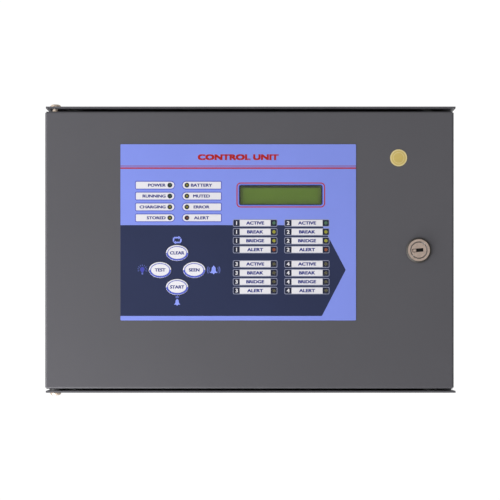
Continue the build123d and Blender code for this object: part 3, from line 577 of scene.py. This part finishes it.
def zone_table():
    """The zone rows: a light edge round a dark plate, which carries a number, a white label with
    its word and a round opening over the lamp."""
    parts = []
    for column, z, number, words in zone_rows():
        x_low, x_high = zone_frames[column]
        label_low, label_high = zone_labels[column]
        hole = oval(zone_lamp_x[column], z, zone_lamp_radius, zone_lamp_radius, 24)
        frame_edge = plate((x_low + x_high) / 2, z, x_high - x_low, zone_tall, 1.1)
        inner = plate(
            (x_low + x_high) / 2, z, x_high - x_low - 2 * zone_edge, zone_tall - 2 * zone_edge, 0.7
        )
        half = zone_tall / 2 - zone_edge
        label = rounded(label_low, label_high, z - half, z + half, [0.05] * 4)
        parts.append((printed([frame_edge, hole], *on_layer(2)), label_grey))
        parts.append((printed([inner, hole], *on_layer(3)), lamp_navy))
        parts.append((printed([label], *on_layer(4)), label_white))
        middle = (label_low + label_high) / 2
        word = lettering(words, middle, z, 2.6, *on_layer(5), weight=(0.4, 0.24))
        parts.append((word, caption_blue))
        digit = lettering(
            str(number), zone_number_x[column], z, 3.0, *on_layer(4), stretch=1.1, weight=(0.3, 0.2)
        )
        parts.append((digit, label_white))
    return parts


def display_surround():
    """The fine red outline round the display, and the dark edge of its window."""
    outer = rounded(*surround_x, *surround_z, [3.4] * 4)
    inner = rounded(
        surround_x[0] + surround_line, surround_x[1] - surround_line,
        surround_z[0] + surround_line, surround_z[1] - surround_line, [2.6] * 4,
    )
    window = plate(window_x, window_z, *window_size, window_corner)
    edge = plate(window_x, window_z, window_size[0] + 0.9, window_size[1] + 0.9, window_corner + 0.4)
    return [
        (printed([outer, inner], *on_layer(1)), outline_red),
        (printed([edge, window], *on_layer(1)), plate_blue),
    ]


def bell(x, z, wide, tall):
    """A bell: a dome that flares to its rim, with a clapper under it."""
    side = [
        (0.0, 0.5), (0.08, 0.48), (0.09, 0.40), (0.21, 0.33), (0.27, 0.16), (0.28, -0.04),
        (0.34, -0.18), (0.5, -0.30), (0.5, -0.36),
    ]
    clapper = arc(0, -0.36, 0.14, 0.14, 0, -180, 8)
    right = [(wide * a, tall * b) for a, b in side]
    left = [(-a, b) for a, b in right[1:]][::-1]
    bottom = [(wide * a, tall * b) for a, b in clapper]
    return [(x + a, z + b) for a, b in right + bottom + left]


def icons():
    """The small signs by the keys: two arrows in a loop, a lit bulb and two ringing bells."""
    reset_x, reset_z = key_place("key_reset")
    lamp_x, lamp_z = key_place("key_lamp")
    bell_x, bell_z = key_place("key_acknowledge")
    alarm_x, alarm_z = key_place("key_alarm")
    pale, mid, deep = [], [], []

    loop_z = reset_z + 10.2
    for turn in (1, -1):
        stroke = [(-2.9, -1.1), *arc(-1.6, 0.6, 1.3, 1.3, 180, 90, 8), (1.1, 1.9)]
        pale.append(band([(reset_x + turn * a, loop_z + turn * b) for a, b in stroke], 1.2))
        head = [(1.0, 3.25), (3.0, 1.9), (1.0, 0.55)]
        pale.append([(reset_x + turn * a, loop_z + turn * b) for a, b in head])

    bulb_x = lamp_x - 14.1
    neck = [(bulb_x - 0.7, lamp_z - 2.0), (bulb_x + 0.7, lamp_z - 2.0)]
    deep.append(arc(bulb_x, lamp_z + 0.5, 1.8, 1.8, -40, 220, 20) + neck)
    mid.append(plate(bulb_x, lamp_z - 2.9, 1.3, 1.5, 0.4))
    for i in range(9):
        angle = math.radians(-20 + i * 27.5)
        ends = [(bulb_x + r * math.cos(angle), lamp_z + 0.4 + r * math.sin(angle)) for r in (2.6, 3.9)]
        mid.append(band(ends, 0.45))

    ring_x = bell_x + 15.4
    pale.append(bell(ring_x, bell_z, 5.9, 6.7))
    for side in (0, 180):
        mid.append(band(arc(ring_x, bell_z, 5.0, 4.6, side - 34, side + 34, 10), 0.7))
        mid.append(band(arc(ring_x, bell_z, 3.7, 3.4, side - 32, side + 32, 10), 0.55))
    sound_z = alarm_z - 12.1
    pale.append(bell(alarm_x, sound_z, 4.8, 5.3))
    mid.append(band(arc(alarm_x, sound_z - 0.6, 2.2, 4.9, 60, 120, 8), 1.5))

    return [(printed([shape], *on_layer(2)), material)
            for shapes, material in ((pale, icon_pale), (mid, icon_mid), (deep, icon_deep))
            for shape in shapes]


def panes():
    """The clear window over the display, and the tinted ones over the lamps."""
    back, front = film_back - 0.05 * mm, film_front + 0.05 * mm
    display = plate(window_x, window_z, *window_size, window_corner)
    piece("display_pane", [(printed([display], back, front), clear_pane)], "door")
    tints = dict(zip(zone_captions, (green_pane, yellow_pane, yellow_pane, red_pane)))
    parts = []
    for column, z, number, words in zone_rows():
        tint = tints[words] if number <= fitted_zones else olive_pane
        parts.append((printed([zone_outline(column, z)], back, front), tint))
    piece("zone_panes", parts, "door")
    tints = [dull_green] * 2 + [dull_yellow] * 5 + [dull_red]
    holes = [status_outline(x, z) for x in status_lamp_x for z in status_rows]
    parts = [(printed([hole], back, front), tint) for hole, tint in zip(holes, tints)]
    piece("status_panes", parts, "door")


def display_face():
    """The display's face: a band of painted shadow round the window, widest under its top edge, a
    duller band of painted shade inside it, and two rows of sixteen character cells.
    """
    glass_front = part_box("lcd_cell")[0].y
    outer = plate(window_x, window_z, 66.3, 16.2, 0.2)
    low_x, high_x = window_x - window_size[0] / 2, window_x + window_size[0] / 2
    low_z, high_z = window_z - window_size[1] / 2, window_z + window_size[1] / 2
    # Painted shadow: the dark band between outer and inner is 1.9 mm deep at the top and thinner elsewhere.
    inner = rounded(low_x + 1.0, high_x - 1.0, low_z + 0.7, high_z - 1.9, [0.2] * 4)
    cells = []
    for row in range(2):
        for column in range(16):
            x, z = window_x + (column - 7.5) * 3.55, window_z - 0.5 + (row - 0.5) * 5.95
            cells.append(plate(x, z, 2.95, 5.3, 0.1))
    # Painted shade: a duller band inside the dark border, widest at the display's two ends.
    shade_rim = rounded(low_x + 3.4, high_x - 3.4, low_z + 1.6, high_z - 2.4, [1.2] * 4)
    parts = [
        (printed([outer, inner], glass_front, glass_front - ink), display_shade),
        (printed([inner, shade_rim], glass_front, glass_front - 0.5 * ink), display_shade_rim),
        (printed(cells, glass_front, glass_front - ink), display_cells),
    ]
    piece("display_face", parts, "door")


def make_overlay():
    """The printed film, its windows and the face of the display behind it."""
    piece("overlay_print", film_and_navy(), "door", ["overlay"])
    piece("overlay_titles", title() + display_surround(), "door")
    piece("overlay_status_plates", status_plates(), "door")
    piece("overlay_zone_table", zone_table(), "door")
    piece("overlay_icons", icons(), "door")
    panes()
    display_face()


def make_key_prints():
    """A blue crescent under a thin ring on each white key, and the key's word."""
    band_outer, ring_outer, ring_inner = (8.7, 6.15), (7.85, 5.35), (7.2, 4.75)
    for name, word in key_captions.items():
        x, z = key_place(name)
        crescent = arc(x, z, *band_outer, 180, 360, 40) + arc(x, z, *ring_outer, 360, 180, 40)
        ring = [oval(x, z, *ring_outer), oval(x, z, *ring_inner)]
        parts = [
            (printed([crescent], key_front, key_front - ink), royal_blue),
            (printed(ring, key_front, key_front - ink), ring_blue),
            (lettering(word, x, z, 2.6, key_front, key_front - ink, stretch=1.1), caption_blue),
        ]
        piece(name + "_print", parts, name + "_body")


# ---- Sticker and lock --------------------------------------------------------------------------
def make_sticker():
    """A round gold label with a raised rim and a plain ring inside it."""
    low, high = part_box("inspection_sticker")
    radius, thick = (high.x - low.x) / 2 / mm, (high.y - low.y) / mm
    centre = towards_viewer((low.x + high.x) / 2, high.y, (low.z + high.z) / 2)
    disc = [(radius, 0), (radius, thick * 0.7), (radius - 0.1, thick * 0.85), (0.2, thick * 0.85)]
    parts = [(turned(disc, centre, 64), gold_paper)]
    for outer, inner in ((radius - 0.15, radius - 1.0), (radius * 0.66, radius * 0.60)):
        ring = [(inner, thick / 2), (outer, thick / 2), (outer, thick), (inner, thick)]
        parts.append((turned(ring, centre, 64, hollow=True), pale_gold))
    piece("sticker_face", parts, "door", ["inspection_sticker"], smooth=30)


def circle_of(node):
    """The middle of a round node and its radius, in millimetres, seen from the front."""
    low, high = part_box(node)
    return (low.x + high.x) / 2 / mm, (low.z + high.z) / 2 / mm, (high.x - low.x) / 2 / mm


def make_lock_face():
    """The lock's worn face: a ring round a dark groove, the bright bead at the groove's rim, the
    plug's face and the dust shutter in its slot."""
    x, z, outer = circle_of("lock_body")
    plug_radius = circle_of("lock_plug")[2]
    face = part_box("lock_body")[0].y
    plug_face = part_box("lock_plug")[0].y
    edge, groove = outer - 1.35, plug_radius + 1.25
    ring = [oval(x, z, edge, edge, 72), oval(x, z, groove, groove, 72)]
    bead_low, bead_high = groove - 0.55, groove - 0.15
    bead_top = ((bead_low + bead_high) / 2, 0.45)
    bead = [(bead_low, 0.0), (bead_high, 0.0), (bead_high, 0.3), bead_top, (bead_low, 0.3)]
    bead_place = towards_viewer(x * mm, face + 0.4 * mm, z * mm)
    parts = [
        (printed(ring, face, face - ink), worn_brass),
        (turned(bead, bead_place, 64, hollow=True), bright_rim),
    ]
    piece("lock_face_ring", parts, "door", smooth=60)

    tilt = math.radians(slot_tilt)
    turn = Matrix.Translation((x * mm, 0, z * mm)) @ Matrix.Rotation(-tilt, 4, "Y")
    slot = plate(slot_shift, 0, *slot_size, 0.4)
    cap_radius = plug_radius + 0.4
    cap = printed([oval(0, 0, cap_radius, cap_radius, 64), slot], plug_face, plug_face - ink)
    cap.transform(turn)
    left, right = slot_shift - slot_size[0] / 2, slot_shift + slot_size[0] / 2
    # Painted shade: a near-black floor 2.6 mm behind the plug's face stands in for the deep, shaded keyway.
    floor = bevelled_box(
        (left * mm, plug_face + 2.6 * mm, -slot_size[1] / 2 * mm),
        (right * mm, plug_face + 2.8 * mm, slot_size[1] / 2 * mm),
    )
    floor.transform(turn)
    shutter = bevelled_box(
        ((left + 0.4) * mm, plug_face + 0.5 * mm, -1.0 * mm),
        ((left + 3.1) * mm, plug_face + 2.4 * mm, 1.0 * mm),
        0.2 * mm,
    )
    shutter.transform(turn)
    parts = [(cap, worn_brass), (floor, keyway_shade_black), (shutter, worn_brass)]
    piece("plug_face", parts, "lock", smooth=40)


# ---- Cables ------------------------------------------------------------------------------------
board_y, door_y = -22.8, -58.2
ribbon_points = [
    (-115.8, board_y), (-135, board_y), (-148, board_y - 11),
    (-148, door_y + 11), (-135, door_y), (-90.8, door_y),
]
ribbon_low, ribbon_high = -4.4, 20.4
ribbon_cores = 20
earth_radius, earth_sides = 1.2, 16
earth_points = [
    (-143, -3.3, 86), (-143, -3.8, 74), (-146, -13.3, 62), (-148, -29.3, 56),
    (-148, -47.3, 57), (-146, -63.3, 64), (-138, -77.7, 75), (-137, -81.7, 86),
]


def swept(path, section, side, stripes):
    """Carries a closed section along a path, with flat ends. The section's pairs run along the side
    direction and square to it, and each of its faces has a stripe's colour."""
    verts, faces = [], []
    count = len(section)
    for i, place in enumerate(path):
        along = (path[min(i + 1, len(path) - 1)] - path[max(i - 1, 0)]).normalized()
        side = (side - along * side.dot(along)).normalized()
        other = along.cross(side)
        verts += [place + (side * a + other * b) * mm for a, b in section]
    for i in range(len(path) - 1):
        for j in range(count):
            a, b = i * count + j, i * count + (j + 1) % count
            faces.append((a, b, b + count, a + count))
    faces += [list(range(count))[::-1], [(len(path) - 1) * count + j for j in range(count)]]
    return verts, faces, stripes * (len(path) - 1) + [0, 0]


def make_ribbon():
    """The flat cable: a row of round cores moulded side by side, the lowest one red."""
    path = smooth_path([(x * mm, y * mm, 0) for x, y in ribbon_points])
    pitch = (ribbon_high - ribbon_low) / ribbon_cores
    steps = 4
    edge = []
    for i in range(ribbon_cores * steps + 1):
        half = 0.22 + 0.28 * abs(math.sin(math.pi * i / steps))
        edge.append((ribbon_low + i * pitch / steps, half))
    section = [(z, -half) for z, half in edge] + edge[::-1]
    stripes = [1 if z < ribbon_low + pitch * 0.95 else 0 for z, _ in section]
    show_blended(
        "ribbon_flat_cable", swept(path, section, Vector((0, 0, 1)), stripes), [ribbon_grey, ribbon_red],
        "ribbon_cable",
    )


def show_blended(name, cable, materials, node):
    """A swept cable laid along its route from the cabinet to the door, in place of its CAD node."""
    verts, faces, colours = cable
    mesh = bpy.data.meshes.new(name)
    mesh.from_pydata(verts, [], faces)
    for material in materials:
        mesh.materials.append(material)
    for face, colour in zip(mesh.polygons, colours):
        face.material_index = colour
    mesh.shade_smooth()
    shown = bpy.data.objects.new(name, mesh)
    bpy.context.scene.collection.objects.link(shown)
    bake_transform(shown)
    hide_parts(node)


def make_earth_lead():
    """The green and yellow lead."""
    path = smooth_path([Vector(point) * mm for point in earth_points])
    section = oval(0, 0, earth_radius, earth_radius, earth_sides)
    stripes = [1 if j % 8 < 3 else 0 for j in range(earth_sides)]
    show_blended(
        "earth_lead_wire", swept(path, section, Vector((1, 0, 0)), stripes), [earth_green, earth_yellow],
        "earth_lead",
    )


def make_earth_tags():
    """A ring tag at each end of the earth lead: a flat ring, a tongue and a crimped barrel."""
    tin = finishes["tin"]
    for name, (x, y, z), body in (("earth_tag_cabinet", earth_points[0], "cabinet"),
                                  ("earth_tag_door", earth_points[-1], "door")):
        stud_z = z + 8
        ring = [oval(x, stud_z, 3.6, 3.6, 40), oval(x, stud_z, 2.05, 2.05, 28)]
        low, high = stud_z - 5.6, stud_z - 2.8
        tongue = [(x - 1.2, low), (x + 1.2, low), (x + 1.2, high), (x - 1.2, high)]
        barrel = [(1.45, -0.2), (1.6, 0.1), (1.6, 2.8), (1.3, 3.2)]
        back, front = (y + 0.4) * mm, (y - 0.4) * mm
        parts = [
            (printed(ring, back, front), tin),
            (printed([tongue], back, front), tin),
            (turned(barrel, Matrix.Translation((x * mm, y * mm, z * mm)), 24), tin),
        ]
        piece(name, parts, body, smooth=40)


# ---- Detail on the boards and inside the cabinet -----------------------------------------------
pin_pitch = 2.54
track_width = 0.5
silk_boxes = ((50, 12, 56, 20), (-5, 34, 24, 12), (-5, 20, 24, 12), (104, 12, 40, 20), (82, 48, 68, 20))


def resistor(x, y, z):
    """An axial resistor lying level on a board: a waisted body, three bands, and a leg that runs
    through it to a solder joint at each end."""
    profile = [(0.3, -3.2), (1.0, -3.0), (1.15, -2.5), (1.15, -1.9), (0.95, -1.5), (0.95, 1.5), (1.15, 1.9),
               (1.15, 2.5), (1.0, 3.0), (0.3, 3.2)]
    place = Matrix.Translation((x * mm, y - 1.3 * mm, z * mm)) @ Matrix.Rotation(math.radians(90), 4, "Y")
    parts = [(turned(profile, place, 14), resistor_tan)]
    for at in (-0.9, 0.0, 0.9):
        parts.append((turned([(0.99, at - 0.2), (0.99, at + 0.2)], place, 14), band_brown))
    parts.append((turned([(0.3, -5.0), (0.3, 5.0)], place, 8), solder))
    for end in (-5.0, 5.0):
        pad = [(0.9, 0), (0.8, 0.25), (0.35, 1.6)]
        parts.append((turned(pad, towards_viewer((x + end) * mm, y, z * mm), 12), solder))
    return parts


def disc_capacitor(x, y, z):
    """A ceramic disc standing on a board on two legs."""
    lens = [(0.4, -0.9), (1.9, -0.75), (2.5, -0.3), (2.5, 0.3), (1.9, 0.75), (0.4, 0.9)]
    place = Matrix.Translation((x * mm, y - 3.6 * mm, z * mm)) @ Matrix.Rotation(math.radians(90), 4, "Y")
    parts = [(turned(lens, place, 20), ceramic)]
    for side in (-1.3, 1.3):
        leg = [(0.25, 0), (0.25, 2.2)]
        parts.append((turned(leg, towards_viewer(x * mm, y, (z + side) * mm), 8), solder))
    return parts


def screw_top(x, y, z, radius):
    """A slotted terminal screw seen in its hole."""
    head = [(radius, 0), (radius, 0.7), (radius * 0.85, 0.95), (0.1, 0.95)]
    slot = bevelled_box(
        ((x - radius * 0.8) * mm, y - 1.0 * mm, (z - 0.25) * mm),
        ((x + radius * 0.8) * mm, y - 0.9 * mm, (z + 0.25) * mm),
    )
    screw = turned(head, towards_viewer(x * mm, y, z * mm), 20)
    return [(screw, finishes["zinc"]), (slot, finishes["black_plastic"])]


def terminal_screws():
    """A screw in every way of the board's terminal blocks. Each block is its first x, its middle z,
    its ways, their pitch, the height of its screws over the board and their radius."""
    board_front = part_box("main_board")[0].y
    supply_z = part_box("main_board")[0].z / mm + 5.5
    signal = (2 * pin_pitch, 9.5, 0.62 * pin_pitch)
    blocks = [(x, 72.5, 6, *signal) for x in (-36.0, 5.0, 37.0, 69.0)]
    blocks += [(86.0, supply_z, 2, *signal), (-114.5, supply_z, 4, *signal), (-114, 64, 3, 9.5, 14.0, 2.9)]
    parts = []
    for x_low, z, ways, pitch, height, radius in blocks:
        for way in range(ways):
            parts += screw_top(x_low + (way + 0.5) * pitch, board_front - height * mm, z, radius)
    return parts


def track(points, y):
    """A raised copper track under the solder mask."""
    return printed([band(points, track_width)], y, y - 0.04 * mm)


def board_detail():
    """Small parts, tracks and white printed outlines on the main board."""
    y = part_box("main_board")[0].y
    parts = []
    for i in range(6):
        parts += resistor(-14 + (i % 3) * 14, y, 58 - (i // 3) * 5)
        parts += resistor(10 + (i % 3) * 13, y, -16 - (i // 3) * 5)
    for i in range(4):
        parts += disc_capacitor(-30, y, 10 + i * 9)
        parts += disc_capacitor(86, y, 4 + i * 8)
    for i in range(8):
        pin_x, bus_x = 20 + i * pin_pitch, -52 + i * 2
        parts.append((track([(pin_x, 3), (pin_x, -4), (pin_x - 6, -10)], y), track_green))
        parts.append((track([(-40 + i * 3.6, 62 - i), (bus_x, 46 - i), (bus_x, 20)], y), track_green))
    for x, z, wide, tall in silk_boxes:
        outline = [plate(x, z, wide, tall, 0.6), plate(x, z, wide - 0.5, tall - 0.5, 0.4)]
        parts.append((printed(outline, y, y - ink), silk_white))
    piece("main_board_detail", parts, "cabinet", smooth=40)
    piece("terminal_screws", terminal_screws(), "cabinet", smooth=40)


def display_board_detail():
    """The display board's back: solder joints of the lamps, keys and display, and a chip."""
    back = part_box("display_board")[1].y
    parts = []

    def joint(x, z):
        cone = [(0.95, 0), (0.8, 0.35), (0.3, 1.1)]
        turn = Matrix.Translation((x * mm, back, z * mm)) @ Matrix.Rotation(math.radians(-90), 4, "X")
        parts.append((turned(cone, turn, 12), solder))

    lamps = [(x, z) for x in status_lamp_x for z in status_rows]
    lamps += [(zone_lamp_x[column], z) for column, z, number, _ in zone_rows() if number <= fitted_zones]
    for x, z in lamps:
        joint(x - pin_pitch / 2, z)
        joint(x + pin_pitch / 2, z)
    for name in key_captions:
        x, z = key_place(name)
        for step_x in (-3.2, 3.2):
            for step_z in (-2.3, 2.3):
                joint(x + step_x, z + step_z)
    for i in range(16):
        joint(window_x + (i - 7.5) * pin_pitch, window_z + 15.5)
    chip = bevelled_box((-38 * mm, back + 0.6 * mm, 2 * mm), (-2 * mm, back + 4.2 * mm, 10 * mm), 0.3 * mm)
    parts.append((chip, finishes["black_plastic"]))
    for i in range(14):
        for side in (-1, 1):
            x, z = (-20 + (i - 6.5) * pin_pitch) * mm, (6 + side * 4.4) * mm
            leg_low = (x - 0.25 * mm, back, z - 0.3 * mm)
            leg_high = (x + 0.25 * mm, back + 2.4 * mm, z + 0.3 * mm)
            parts.append((bevelled_box(leg_low, leg_high), solder))
    piece("display_board_detail", parts, "door", smooth=40)


def make_fuses():
    """Each of the three fuses: a glass tube, a cap at each end and its fine wire."""
    low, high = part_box("glass_fuses")
    radius, half = 2.6, (high.z - low.z) / 2 / mm
    y = low.y + radius * mm
    parts = []
    for i in range(3):
        x = low.x + radius * mm + i * ((high.x - low.x) - 2 * radius * mm) / 2
        middle = Matrix.Translation((x, y, (low.z + high.z) / 2))
        tube = [(radius * 0.94, -half * 0.8), (radius * 0.94, half * 0.8)]
        wire = [(0.12, -half * 0.8), (0.12, half * 0.8)]
        parts.append((turned(tube, middle, 24), finishes["fuse_glass"]))
        parts.append((turned(wire, middle, 8), finishes["tin"]))
        for side in (-1, 1):
            cap = [(0.95, 0.72), (1.0, 0.74), (1.0, 0.96), (0.85, 1.0)]
            cap = [(radius * across, half * along * side) for across, along in cap]
            parts.append((turned(cap, middle, 24), finishes["tin"]))
    piece("fuse_tubes", parts, "cabinet", ["glass_fuses"], smooth=40)


def battery_labels():
    """A plain paper label on the front of each battery, with a coloured band and three bars."""
    low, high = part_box("batteries")
    gap = 1.5
    wide = ((high.x - low.x) / mm - gap) / 2
    front, z = low.y, high.z / mm - 22
    parts = []
    for i in range(2):
        middle = low.x / mm + i * (wide + gap) + wide / 2
        parts.append((printed([plate(middle, z, 78, 18, 1.5)], front, front - 0.1 * mm), paper_label))
        stripe = plate(middle, z + 6, 76, 4, 0.6)
        parts.append((printed([stripe], front - 0.1 * mm, front - 0.13 * mm), label_band))
        for row in range(3):
            bar = plate(middle - 10, z - row * 3.4, 50 - row * 9, 0.9, 0.3)
            parts.append((printed([bar], front - 0.1 * mm, front - 0.13 * mm), label_band))
    piece("battery_labels", parts, "cabinet")


# ---- The CAD nodes' own finishes ---------------------------------------------------------------
def paint_nodes():
    """Gives each carried-over CAD node the finish of its material slot in the record."""
    for part in frame["record"]["subparts"]:
        material = finishes.get(part["material_slot"])
        node = frame["nodes"][part["node"]]
        if material and not node.hide_render:
            for place in node.material_slots:
                place.material = material


# ---- Studio ------------------------------------------------------------------------------------
def make_camera():
    """The camera faces the door squarely from a little below its middle."""
    distance, height, side = 1.2, -0.055, -0.00056
    frame_width, frame_middle = 0.3965, -0.00028
    camera = bpy.data.cameras.new("camera")
    camera.sensor_width = 36.0
    camera.lens = camera.sensor_width * distance / frame_width
    camera.shift_y = (frame_middle - height) / frame_width
    holder = bpy.data.objects.new("camera", camera)
    holder.location = (side, film_back - distance, height)
    holder.rotation_euler = (math.radians(90), 0, 0)
    bpy.context.scene.collection.objects.link(holder)
    bpy.context.scene.camera = holder


def area_light(name, place, target, size, power):
    """A square soft light that shines at a target; its size in metres and its power in watts."""
    lamp = bpy.data.lights.new(name, "AREA")
    lamp.shape = "SQUARE"
    lamp.size = size
    lamp.energy = power
    holder = bpy.data.objects.new(name, lamp)
    holder.location = place
    holder.rotation_euler = (Vector(target) - Vector(place)).to_track_quat("-Z", "Y").to_euler()
    bpy.context.scene.collection.objects.link(holder)


def make_studio():
    """A pale floor, a surround that is white behind the panel and grey beside and before it, and
    four soft lights."""
    floor = bpy.data.meshes.new("floor")
    reach, level = 9.0, -0.6
    corners = [(-reach, -reach, level), (reach, -reach, level), (reach, 1.5, level), (-reach, 1.5, level)]
    floor.from_pydata(corners, [], [(0, 1, 2, 3)])
    floor.materials.append(finish("floor", [0.82, 0.82, 0.82], spread=0.02, patch=3.0, grain=60.0,
                                  depth=0.1, rough=(0.6, 0.7)))
    ground = bpy.data.objects.new("floor", floor)
    bpy.context.scene.collection.objects.link(ground)

    world = bpy.data.worlds.new("studio")
    bpy.context.scene.world = world
    world.use_nodes = True
    tree = world.node_tree
    background = tree.nodes["Background"]
    split = tree.nodes.new("ShaderNodeSeparateXYZ")
    tree.links.new(tree.nodes.new("ShaderNodeTexCoord").outputs["Generated"], split.inputs["Vector"])
    fade = tree.nodes.new("ShaderNodeValToRGB")
    bright = fade.color_ramp.elements
    bright[0].position, bright[1].position = 0.0, 0.75
    for stop, value in ((bright[0], 0.58), (bright.new(0.5), 0.36), (bright[-1], 1.0)):
        stop.color = (value, value, value, 1)
    toward_wall = tree.nodes.new("ShaderNodeMapRange")
    toward_wall.inputs["From Min"].default_value = -1.0
    tree.links.new(split.outputs["Y"], toward_wall.inputs["Value"])
    tree.links.new(toward_wall.outputs["Result"], fade.inputs["Fac"])
    tree.links.new(fade.outputs["Color"], background.inputs["Color"])
    background.inputs["Strength"].default_value = 1.04

    area_light("key_light", (-0.9, -0.62, -0.12), (-0.05, -0.08, 0), 0.9, 11.0)
    area_light("fill_light", (0.5, -1.5, 0.9), (0, -0.08, 0), 1.2, 2.5)
    area_light("low_light", (-0.30, -0.20, -0.52), (-0.14, -0.085, -0.11), 0.3, 3.6)
    area_light("rim_light", (-0.75, -0.16, 0.75), (0.1, -0.085, 0), 0.4, 3.2)
    bpy.context.scene.view_settings.view_transform = "Standard"


make_camera()
make_studio()
make_overlay()
make_key_prints()
make_sticker()
make_lock_face()
make_ribbon()
make_earth_lead()
make_earth_tags()
board_detail()
display_board_detail()
make_fuses()
battery_labels()
paint_nodes()
